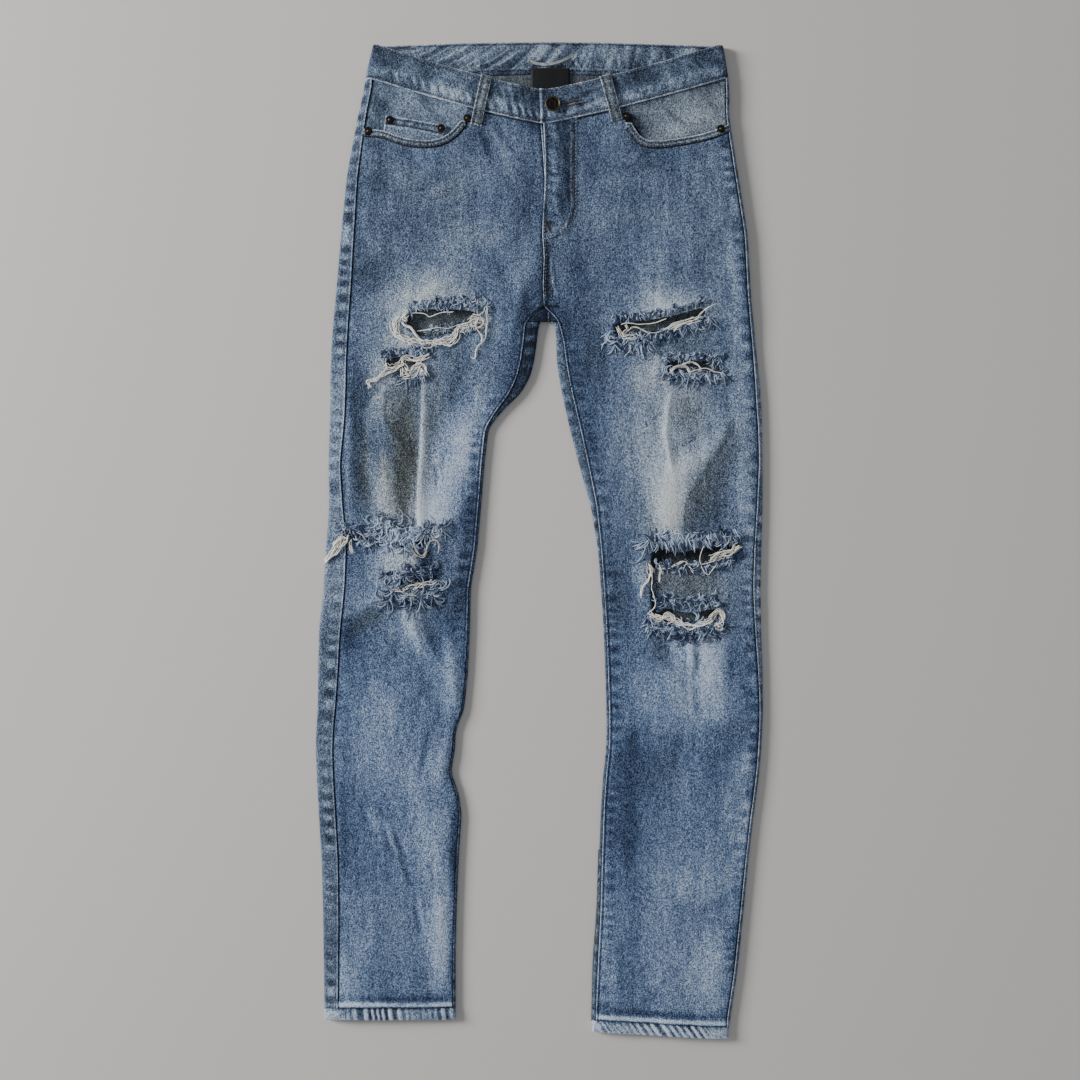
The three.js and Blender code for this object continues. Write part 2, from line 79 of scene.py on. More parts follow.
# %% Soft studio light
def soft_panel(name, place, size, power, colour):
    data = bpy.data.lights.new(name, "AREA")
    data.shape = "RECTANGLE"
    data.size, data.size_y = size
    data.energy = power
    data.color = colour
    panel = bpy.data.objects.new(name, data)
    panel.location = place
    towards = -panel.location.normalized()
    panel.rotation_euler = towards.to_track_quat("-Z", "Y").to_euler()
    bpy.context.scene.collection.objects.link(panel)


soft_panel("window_light", (-3.6, 1.1, 1.55), (1.3, 1.3), 270, (1.0, 0.985, 0.96))
soft_panel("fill_light", (1.2, -0.8, 3.0), (2.4, 2.4), 10, (0.95, 0.97, 1.0))
world = bpy.data.worlds.new("studio")
world.use_nodes = True
world.node_tree.nodes["Background"].inputs["Color"].default_value = (0.88, 0.92, 1.0, 1)
world.node_tree.nodes["Background"].inputs["Strength"].default_value = 0.3
bpy.context.scene.world = world

# %% [markdown]
# ## A small language for finishes
# A finish is a graph of shader nodes. Wrapping a socket in a class with arithmetic lets the graph be
# written as plain expressions: `1 - mask` adds a Math node. Colours are mixed with Mix nodes, because a
# Math node would turn them grey.

# %% Sockets with arithmetic
class Value:
    """One output socket of a finish's graph, with arithmetic that adds Math nodes."""

    def __init__(self, graph, socket):
        self.graph, self.socket = graph, socket

    def _math(self, operation, *others, flip=False):
        order = (*others, self) if flip else (self, *others)
        return self.graph.node("ShaderNodeMath", {"operation": operation}, dict(enumerate(order)))

    def __add__(self, other):
        return self._math("ADD", other)

    def __mul__(self, other):
        return self._math("MULTIPLY", other)

    def __sub__(self, other):
        return self._math("SUBTRACT", other)

    def __rsub__(self, other):
        return self._math("SUBTRACT", other, flip=True)

    __radd__, __rmul__ = __add__, __mul__

    def clamped(self, low=0.0, high=1.0):
        return self._math("MAXIMUM", low)._math("MINIMUM", high)


class Finish:
    """A material with a Principled shader, built node by node."""

    def __init__(self, name, roughness=0.9, metallic=0.0, sheen=0.0):
        self.material = bpy.data.materials.new(name)
        self.material.use_nodes = True
        self.tree = self.material.node_tree
        self.shader = self.tree.nodes["Principled BSDF"]
        self.shader.inputs["Roughness"].default_value = roughness
        self.shader.inputs["Metallic"].default_value = metallic
        self.shader.inputs["Sheen Weight"].default_value = sheen
        self.shader.inputs["Specular IOR Level"].default_value = 0.5 if metallic else 0.15

    def node(self, kind, settings, inputs, output=0):
        made = self.tree.nodes.new(kind)
        for key, value in settings.items():
            if key == "stops":
                self._stops(made, value)
            else:
                setattr(made, key, value)
        for key, value in inputs.items():
            self._feed(made.inputs[key], value)
        return Value(self, made.outputs[output])

    def _stops(self, made, stops):
        ramp = made.color_ramp
        while len(ramp.elements) < len(stops):
            ramp.elements.new(0.5)
        for element, (place, colour) in zip(ramp.elements, stops):
            element.position = place
            element.color = (*colour, 1)

    def _feed(self, socket, value):
        if isinstance(value, Value):
            self.tree.links.new(value.socket, socket)
        elif isinstance(value, tuple) and len(value) == 3 and len(socket.default_value) == 4:
            socket.default_value = (*value, 1)
        else:
            socket.default_value = value

    def painted(self, name):
        """A value painted on the mesh, point by point."""
        return self.node("ShaderNodeAttribute", {"attribute_name": name}, {}, "Fac")

    def place(self, scale):
        """The object's own coordinates, in cycles for each metre along X, Y and Z."""
        here = self.node("ShaderNodeTexCoord", {}, {}, "Object")
        return self.node("ShaderNodeVectorMath", {"operation": "MULTIPLY"}, {0: here, 1: scale})

    def noise(self, place, detail=2.0, rough=0.5):
        return self.node(
            "ShaderNodeTexNoise", {}, {"Vector": place, "Scale": 1.0, "Detail": detail, "Roughness": rough}
        )

    def cells(self, place):
        """A random value for each cell of the grid of yarn crossings."""
        cell = self.node("ShaderNodeVectorMath", {"operation": "FLOOR"}, {0: place})
        return self.node("ShaderNodeTexWhiteNoise", {}, {"Vector": cell})

    def mix(self, share, a, b):
        inputs = {"Factor": share, 6: a, 7: b}
        return self.node("ShaderNodeMix", {"data_type": "RGBA"}, inputs, 2)

    def colour(self, value):
        self._feed(self.shader.inputs["Base Color"], value)
        return self

    def bump(self, height, strength, depth):
        bump = self.node("ShaderNodeBump", {}, {"Height": height, "Strength": strength, "Distance": depth})
        self._feed(self.shader.inputs["Normal"], bump)
        return self


# %% [markdown]
# ## Denim
# Denim is a twill: indigo warp yarns run down the leg over undyed weft, so the face is blue and the back is
# pale. The warp yarns are slubby, so a washed pair looks like salt and pepper in short upright streaks. One
# tone, from 0 for unfaded indigo in a fold to 1 for bare cotton on an edge, picks the colour from a ramp:
# the painted wear, with painted light and shade on folds and seams, sets it and the streaks move it up and
# down. A second ramp is the same cloth after more washing, grey and a little green, for the fronts of the
# thighs.

# %% Denim tones
FRESH = [
    (0.0, (0.006, 0.009, 0.023)), (0.2, (0.021, 0.037, 0.084)), (0.42, (0.064, 0.106, 0.2)),
    (0.6, (0.132, 0.2, 0.335)), (0.8, (0.28, 0.37, 0.53)), (1.0, (0.6, 0.68, 0.79)),
]
TIRED = [
    (0.0, (0.01, 0.012, 0.014)), (0.2, (0.038, 0.046, 0.049)), (0.42, (0.098, 0.117, 0.124)),
    (0.6, (0.182, 0.214, 0.226)), (0.8, (0.36, 0.406, 0.424)), (1.0, (0.64, 0.685, 0.7)),
]


def denim_finish(name, base=0.445, grain=1.0, tired=0.12):
    """Denim whose tone, faded pale and darkened by painted shade, is painted on the mesh as `wear`, and its
    greyness as `grey`.
    """
    cloth = Finish(name, roughness=0.92, sheen=0.1)
    crossings = cloth.cells(cloth.place((1500, 1150, 1500)))
    slubs = cloth.noise(cloth.place((1300, 200, 1300)), detail=0.0)
    streaks = cloth.noise(cloth.place((420, 36, 420)), detail=1.0)
    clouds = cloth.noise(cloth.place((24, 12, 24)), detail=1.0)
    grains = (crossings - 0.5) * 0.7 + (slubs - 0.5) * 0.28 + (streaks - 0.5) * 0.14
    tone = (cloth.painted("wear") + base + grains * grain + (clouds - 0.5) * 0.07).clamped()
    fresh = cloth.node("ShaderNodeValToRGB", {"stops": FRESH}, {"Fac": tone})
    grey = cloth.node("ShaderNodeValToRGB", {"stops": TIRED}, {"Fac": tone})
    share = (cloth.painted("grey") + tired + (clouds - 0.5) * 0.12).clamped()
    cloth.colour(cloth.mix(share, fresh, grey))
    return cloth.bump(slubs * 0.8 + crossings * 0.3, 0.5, 0.0005)


denim = denim_finish("light_wash_denim")
faded = denim_finish("faded_denim", base=0.42, grain=0.9, tired=0.2)
# The reverse is given a dark grey tone: painted shade for the pale back of the cloth where it shows through
# the rips.
reverse = denim_finish("denim_reverse", base=0.32, grain=0.7, tired=0.8)
print("denim finishes:", denim.material.name, reverse.material.name)

# %% [markdown]
# ## Thread, tape and metal
# The stitching is a grey-blue core thread. Torn warp is indigo and torn weft is undyed cotton. The button
# and the rivets are brass with a dark antique coat that has rubbed off their high edges.

# %% Other finishes
def thread_finish(name, dark, light):
    thread = Finish(name, roughness=0.85, sheen=0.15)
    twist = thread.noise(thread.place((1800, 1800, 1800)), detail=1.0)
    share = (thread.painted("wear") + (twist - 0.5) * 1.1).clamped()
    return thread.colour(thread.mix(share, dark, light))


stitching = thread_finish("seam_thread", (0.016, 0.022, 0.036), (0.4, 0.39, 0.36))
tan_thread = thread_finish("bar_tack_thread", (0.035, 0.022, 0.012), (0.3, 0.22, 0.14))
blue_thread = thread_finish("torn_warp", (0.012, 0.028, 0.08), (0.48, 0.59, 0.74))
cream_thread = thread_finish("torn_weft", (0.4, 0.36, 0.29), (1.0, 0.99, 0.92))
tape = thread_finish("cotton_tape", (0.16, 0.18, 0.19), (0.5, 0.53, 0.53))


def black_satin():
    satin = Finish("black_satin", roughness=0.6, sheen=0.1)
    rib = satin.noise(satin.place((2400, 500, 800)), detail=1.0)
    satin.colour(satin.mix(rib, (0.004, 0.004, 0.005), (0.012, 0.013, 0.016)))
    return satin.bump(rib, 0.3, 0.0003)


def antique_brass():
    brass = Finish("antique_brass", roughness=0.42, metallic=0.9)
    mottle = brass.noise(brass.place((420, 420, 420)), detail=3.0)
    rubbed = (brass.painted("wear") * 0.55 + (mottle - 0.5) * 0.9).clamped()
    brass.colour(brass.mix(rubbed, (0.016, 0.014, 0.012), (0.17, 0.135, 0.09)))
    return brass.bump(mottle, 0.25, 0.0003)


label_cloth, metal = black_satin(), antique_brass()

# %% [markdown]
# ## Reading the cutting lines off the frame
# The seams and folded edges are already in the frame, so nothing is measured twice. A plane cut through the
# frame's pieces gives points; the outermost or innermost of them at each height is one of the jeans' lines.
# Each line is a smooth curve, X at any Y (or Y at any X), drawn through cuts a thumb's width apart.

# %% Cuts through the frame
def faces_of(node):
    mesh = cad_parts[node].data
    mesh.calc_loop_triangles()
    points = np.array([v.co for v in mesh.vertices]) / MM
    return points[np.array([t.vertices for t in mesh.loop_triangles])]


FACES = {name: faces_of(name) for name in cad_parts}


def cut(names, axis, at):
    """Points where the named pieces' faces cross the plane axis = at."""
    found = []
    for name in names:
        for a, b in ((0, 1), (1, 2), (2, 0)):
            start, end = FACES[name][:, a], FACES[name][:, b]
            before, after = start[:, axis] - at, end[:, axis] - at
            hit = before * after < 0
            share = (before[hit] / (before[hit] - after[hit]))[:, None]
            found.append(start[hit] + share * (end[hit] - start[hit]))
    return np.vstack(found)


X, Y, Z = 0, 1, 2


def line(names, along, across, pick, low, high, step=9.0, soften=1, layer=lambda found: found):
    """A smooth curve: the picked `across` coordinate at any `along` coordinate, in one layer of the cloth."""
    stops = np.linspace(low, high, max(4, int((high - low) / step)))
    values = np.array([pick(layer(cut(names, along, stop))[:, across]) for stop in stops])
    for _ in range(soften):
        values[1:-1] = (values[:-2] + 2 * values[1:-1] + values[2:]) / 4
    return lambda at: np.interp(at, stops, values)


# %% The lines of each half
WAIST_SIDE, YOKE_SIDE, HIP, CROTCH, CROTCH_EDGE = 505.0, 468.0, 330.0, 256.0, 240.0
CENTRE = 5.0


class Half:
    """One half of the jeans, with its folded edges and its seams as curves."""

    def __init__(self, name, inward):
        self.name, self.inward = name, inward
        outmost, inmost = (np.min, np.max) if inward > 0 else (np.max, np.min)
        own = [f"back_{name}", f"yoke_{name}", f"hem_{name}"]
        fronts = [f"front_{name}", f"pocket_facing_{name}"]
        hem = FACES[f"hem_{name}"].reshape(-1, 3)
        side = hem[np.abs(hem[:, X]) > np.abs(hem[:, X]).max() - 4]
        inner = hem[np.abs(hem[:, X]) < np.abs(hem[:, X]).min() + 4]
        self.hem_side = side[:, Y].min()
        self.hem_slant = inner[:, Y].min() - self.hem_side
        self.hem_height = side[:, Y].max() - self.hem_side
        low = max(self.hem_side, inner[:, Y].min()) + 1.0
        self.outer_low = line(own, Y, X, outmost, low, WAIST_SIDE - 2)
        self.outer_band = line(["waistband"], Y, X, outmost, WAIST_SIDE + 2, 541)
        self.inner = line(own, Y, X, inmost, low, CROTCH_EDGE, step=5.0)
        self.outseam = line(fronts, Y, X, outmost, low + self.hem_height, 498)
        self.inseam = line([f"front_{name}"], Y, X, inmost, low + self.hem_height, CROTCH - 1, step=5.0)
        left, right = sorted([CENTRE - inward * 1.0, self.outseam(495) + inward * 2.0])
        self.waist_seam = line(fronts, X, Y, np.max, left, right)
        pocket = FACES[f"pocket_band_{name}"].reshape(-1, 3)
        self.mouth_end = pocket[np.argmax(pocket[:, Y]), X]
        left, right = sorted([self.mouth_end - inward * 6.0, self.outseam(452) + inward * 0.6])
        self.mouth = line([f"pocket_band_{name}"], X, Y, np.max, left, right, step=3.0, soften=2)

    def outer(self, y):
        return np.where(y > WAIST_SIDE, self.outer_band(y), self.outer_low(y))


right, left = Half("right", 1.0), Half("left", -1.0)
HALVES = (right, left)
upper_layer = lambda found: found[found[:, Z] > 5.0]
lower_layer = lambda found: found[found[:, Z] < 4.0]
front_top = line(["waistband"], X, Y, np.max, -178, 194, layer=upper_layer)
front_foot = line(["waistband"], X, Y, np.min, -184, 202, layer=upper_layer)
back_top = line(["waistband"], X, Y, np.max, -178, 194, layer=lower_layer)
back_foot = line(["waistband"], X, Y, np.min, -180, 198, layer=lower_layer)
for half in HALVES:
    print(
        f"{half.name}: hem at {half.hem_side:.1f}, slant {half.hem_slant:.1f}, pocket to {half.mouth_end:.1f}"
    )

# %% [markdown]
# ## The lie of the cloth
# Jeans on a floor are two layers of cloth with a little air between them. Their edges are round folds, they
# rise slightly towards the middle, and they keep the creases of the last wearing. The height of the upper
# face is one function of place, so that every piece sewn on the front can lie on it: the rounded edge, a
# crown, a list of creases, and some soft unevenness.

# %% Soft unevenness
def lumps(x, y, size, seed):
    """Smooth irregular height between -1 and 1, with features about `size` across; size is (x, y)."""
    lattice = np.random.default_rng(seed).uniform(-1, 1, (64, 64))
    u, v = np.asarray(x, float) / size[0] + 100, np.asarray(y, float) / size[1] + 100
    i, j = np.floor(u).astype(int), np.floor(v).astype(int)
    s, t = smoothstep(0, 1, u - i), smoothstep(0, 1, v - j)
    at = lambda a, b: lattice[a % 64, b % 64]
    low = at(i, j) * (1 - s) + at(i + 1, j) * s
    high = at(i, j + 1) * (1 - s) + at(i + 1, j + 1) * s
    return low * (1 - t) + high * t


# %% Broad fades and painted shade in soft ovals: (x, y, reach across, reach along, lean, wear and painted shade, greyness)
OVALS = [
    # right thigh and crotch
    (-124, 270, 46, 30, 0, 0.24, 0.2), (-60, 242, 30, 28, 0, 0.2, 0), (-66, 30, 10, 40, 0.3, -0.13, 0),
    (-194, 30, 9, 60, 0, -0.1, 0), (-154, 220, 24, 38, 0, 0.2, 0.1), (-182, 288, 22, 22, 0, -0.2, 0),
    (-112, 244, 44, 24, 0, 0.16, 0.1), (-158, 190, 22, 16, 0, 0.16, 0.1), (-124, 22, 26, 22, 0, 0.22, 0),
    (-132, 130, 60, 130, 0, 0, 0.15), (-208, 290, 12, 42, 0, -0.14, 0), (-176, 158, 14, 36, 0, 0.15, 0.2),
    (-204, 160, 9, 44, 0, -0.13, 0), (-74, 116, 17, 44, 0.1, 0.26, -0.1),
    (-104, 50, 24, 56, 0.18, 0.14, -0.1), (-168, 42, 16, 40, 0, 0.24, 0.2), (-14, 250, 26, 18, 0, -0.14, 0),
    (-98, 150, 10, 20, 0, -0.14, 0), (-192, 166, 10, 20, 0, -0.18, 0), (-140, 190, 34, 12, 0, 0.14, 0.1),
    (-122, 28, 20, 34, 0, 0.14, 0), (-112, 122, 8, 20, 0, -0.14, 0),
    # right knee and shin
    (-84, -60, 12, 30, 0, -0.1, 0), (-112, -150, 18, 70, 0, 0.07, 0), (-98, -312, 12, 28, 0, 0.14, 0),
    (-165, -32, 20, 40, 0, 0.26, 0.1), (-206, -30, 16, 26, 0, -0.14, 0), (-108, -86, 12, 34, 0, -0.13, 0),
    (-118, -22, 13, 26, 0, -0.2, 0), (-80, -44, 12, 36, 0, -0.1, 0), (-138, -84, 16, 32, 0.2, 0.16, 0.1),
    (-92, -184, 20, 76, 0.03, 0.18, -0.1), (-188, -206, 28, 60, 0, 0.18, 0),
    (-128, -256, 34, 26, 0, 0.14, 0), (-130, -330, 24, 60, 0, 0.16, 0), (-134, -100, 14, 30, 0, 0.12, 0),
    (-206, -104, 22, 18, 0, -0.15, 0), (-104, -440, 20, 70, 0, 0.25, 0), (-218, -490, 18, 50, 0, 0.26, 0),
    (-190, -366, 36, 26, 0, -0.07, 0), (-84, -310, 10, 40, 0, 0.12, 0), (-160, -440, 34, 90, 0, 0.04, 0),
    # hips
    (-210, 384, 8, 30, 0, 0.2, 0), (-122, 420, 26, 14, 0, 0.12, 0), (-176, 392, 10, 14, 0, -0.16, 0),
    (-208, 400, 8, 34, 0, 0.14, 0), (-84, 318, 38, 26, 0, 0.1, 0.1), (-186, 384, 18, 60, 0, -0.09, 0),
    (118, 316, 24, 36, 0, 0.15, 0), (136, 390, 34, 40, 0, -0.06, 0), (-136, 344, 30, 20, 0, -0.08, 0),
    # (-4, 456) is painted shade under the fly's top, and (106, 436) a painted shadow below the left pocket
    # mouth
    (-4, 456, 18, 14, 0, -0.2, 0), (106, 436, 15, 13, 0, -0.16, 0), (-64, 436, 18, 16, 0, -0.1, 0),
    (-26, 346, 14, 30, 0, -0.08, 0), (-14, 384, 10, 32, 0, -0.13, 0), (36, 250, 24, 64, -0.2, -0.18, 0),
    (196, 400, 20, 40, 0, 0.06, 0), (-90, 400, 30, 24, 0, 0.05, 0),
    # left thigh
    (142, 256, 46, 22, 0.1, 0.26, 0.1), (222, 120, 11, 190, -0.06, 0.22, 0),
    (150, 176, 38, 34, 0, 0.2, 0.1), (158, 246, 34, 16, 0.1, 0.16, 0.1), (150, 206, 22, 12, 0, -0.12, 0),
    (150, 184, 40, 18, 0, 0.08, 0), (150, 100, 52, 130, 0, 0.04, 0.26), (118, 104, 26, 64, -0.1, 0.2, 0),
    (184, 20, 26, 36, 0, -0.11, 0), (172, 96, 28, 50, 0.25, 0.17, 0), (144, 34, 18, 48, 0.1, 0.18, 0.3),
    (62, 130, 12, 60, 0.1, -0.1, 0), (146, 250, 44, 14, 0, 0.15, 0.1), (208, 246, 12, 40, 0, -0.12, 0),
    (172, 190, 40, 14, 0, 0.14, 0), (144, 132, 6, 24, 0, 0.14, 0.1), (144, 30, 14, 34, 0, 0.05, 0.2),
    # left knee and shin
    (204, -56, 16, 30, 0, 0.13, 0), (158, -97, 36, 9, 0, 0.12, 0), (168, -196, 30, 22, 0, 0.11, 0),
    (118, -32, 14, 24, 0, 0.17, 0), (158, -90, 44, 16, 0, 0.18, 0), (170, -132, 34, 60, 0, 0.25, 0),
    (92, -50, 16, 46, 0, -0.12, 0), (106, -246, 18, 44, 0, -0.13, 0), (220, -222, 22, 16, 0, -0.12, 0),
    (130, -180, 22, 36, 0, 0.09, 0), (140, -370, 30, 60, 0, 0.08, 0), (212, -320, 22, 84, 0.1, 0.17, 0),
    (164, -372, 32, 28, 0, 0.11, 0), (68, -430, 11, 130, -0.05, 0.18, 0), (98, -340, 14, 70, 0, -0.08, 0),
    (126, -450, 16, 44, 0, 0.1, 0), (218, -454, 12, 34, 0, -0.12, 0), (182, -484, 34, 56, 0, 0.19, 0),
    (100, -328, 13, 36, 0, -0.13, 0), (138, 84, 40, 90, 0, 0.05, 0), (150, -262, 90, 14, 0, -0.03, 0.2),
    # waistband and facings
    (-98, 508, 18, 10, 0, 0.15, 0), (-32, 500, 12, 9, 0, 0.16, 0), (48, 500, 10, 8, 0, 0.17, 0),
    # (-6, 484) and (28, 472) are painted shade on the band round the button
    (208, 486, 8, 14, 0, 0.15, 0), (-6, 484, 20, 24, 0, -0.24, 0), (28, 472, 12, 14, 0, -0.16, 0),
    (-108, 484, 30, 11, 0.25, 0.12, 0), (-66, 484, 14, 16, 0, -0.12, 0), (102, 499, 20, 13, 0, -0.18, 0),
    (-152, 500, 14, 12, 0, -0.1, 0),
]


def fading_and_shade(x, y):
    """Fades and painted shade, and greyness, of the ovals, summed at each place."""
    wear, grey = np.zeros(np.shape(x)), np.zeros(np.shape(x))
    for middle, height, across, along, lean, worn_and_shaded, dulled in OVALS:
        away = ((x - middle - lean * (y - height)) / across) ** 2 + ((y - height) / along) ** 2
        mask = np.exp(-(away**1.25))
        wear, grey = wear + worn_and_shaded * mask, grey + dulled * mask
    return wear, grey
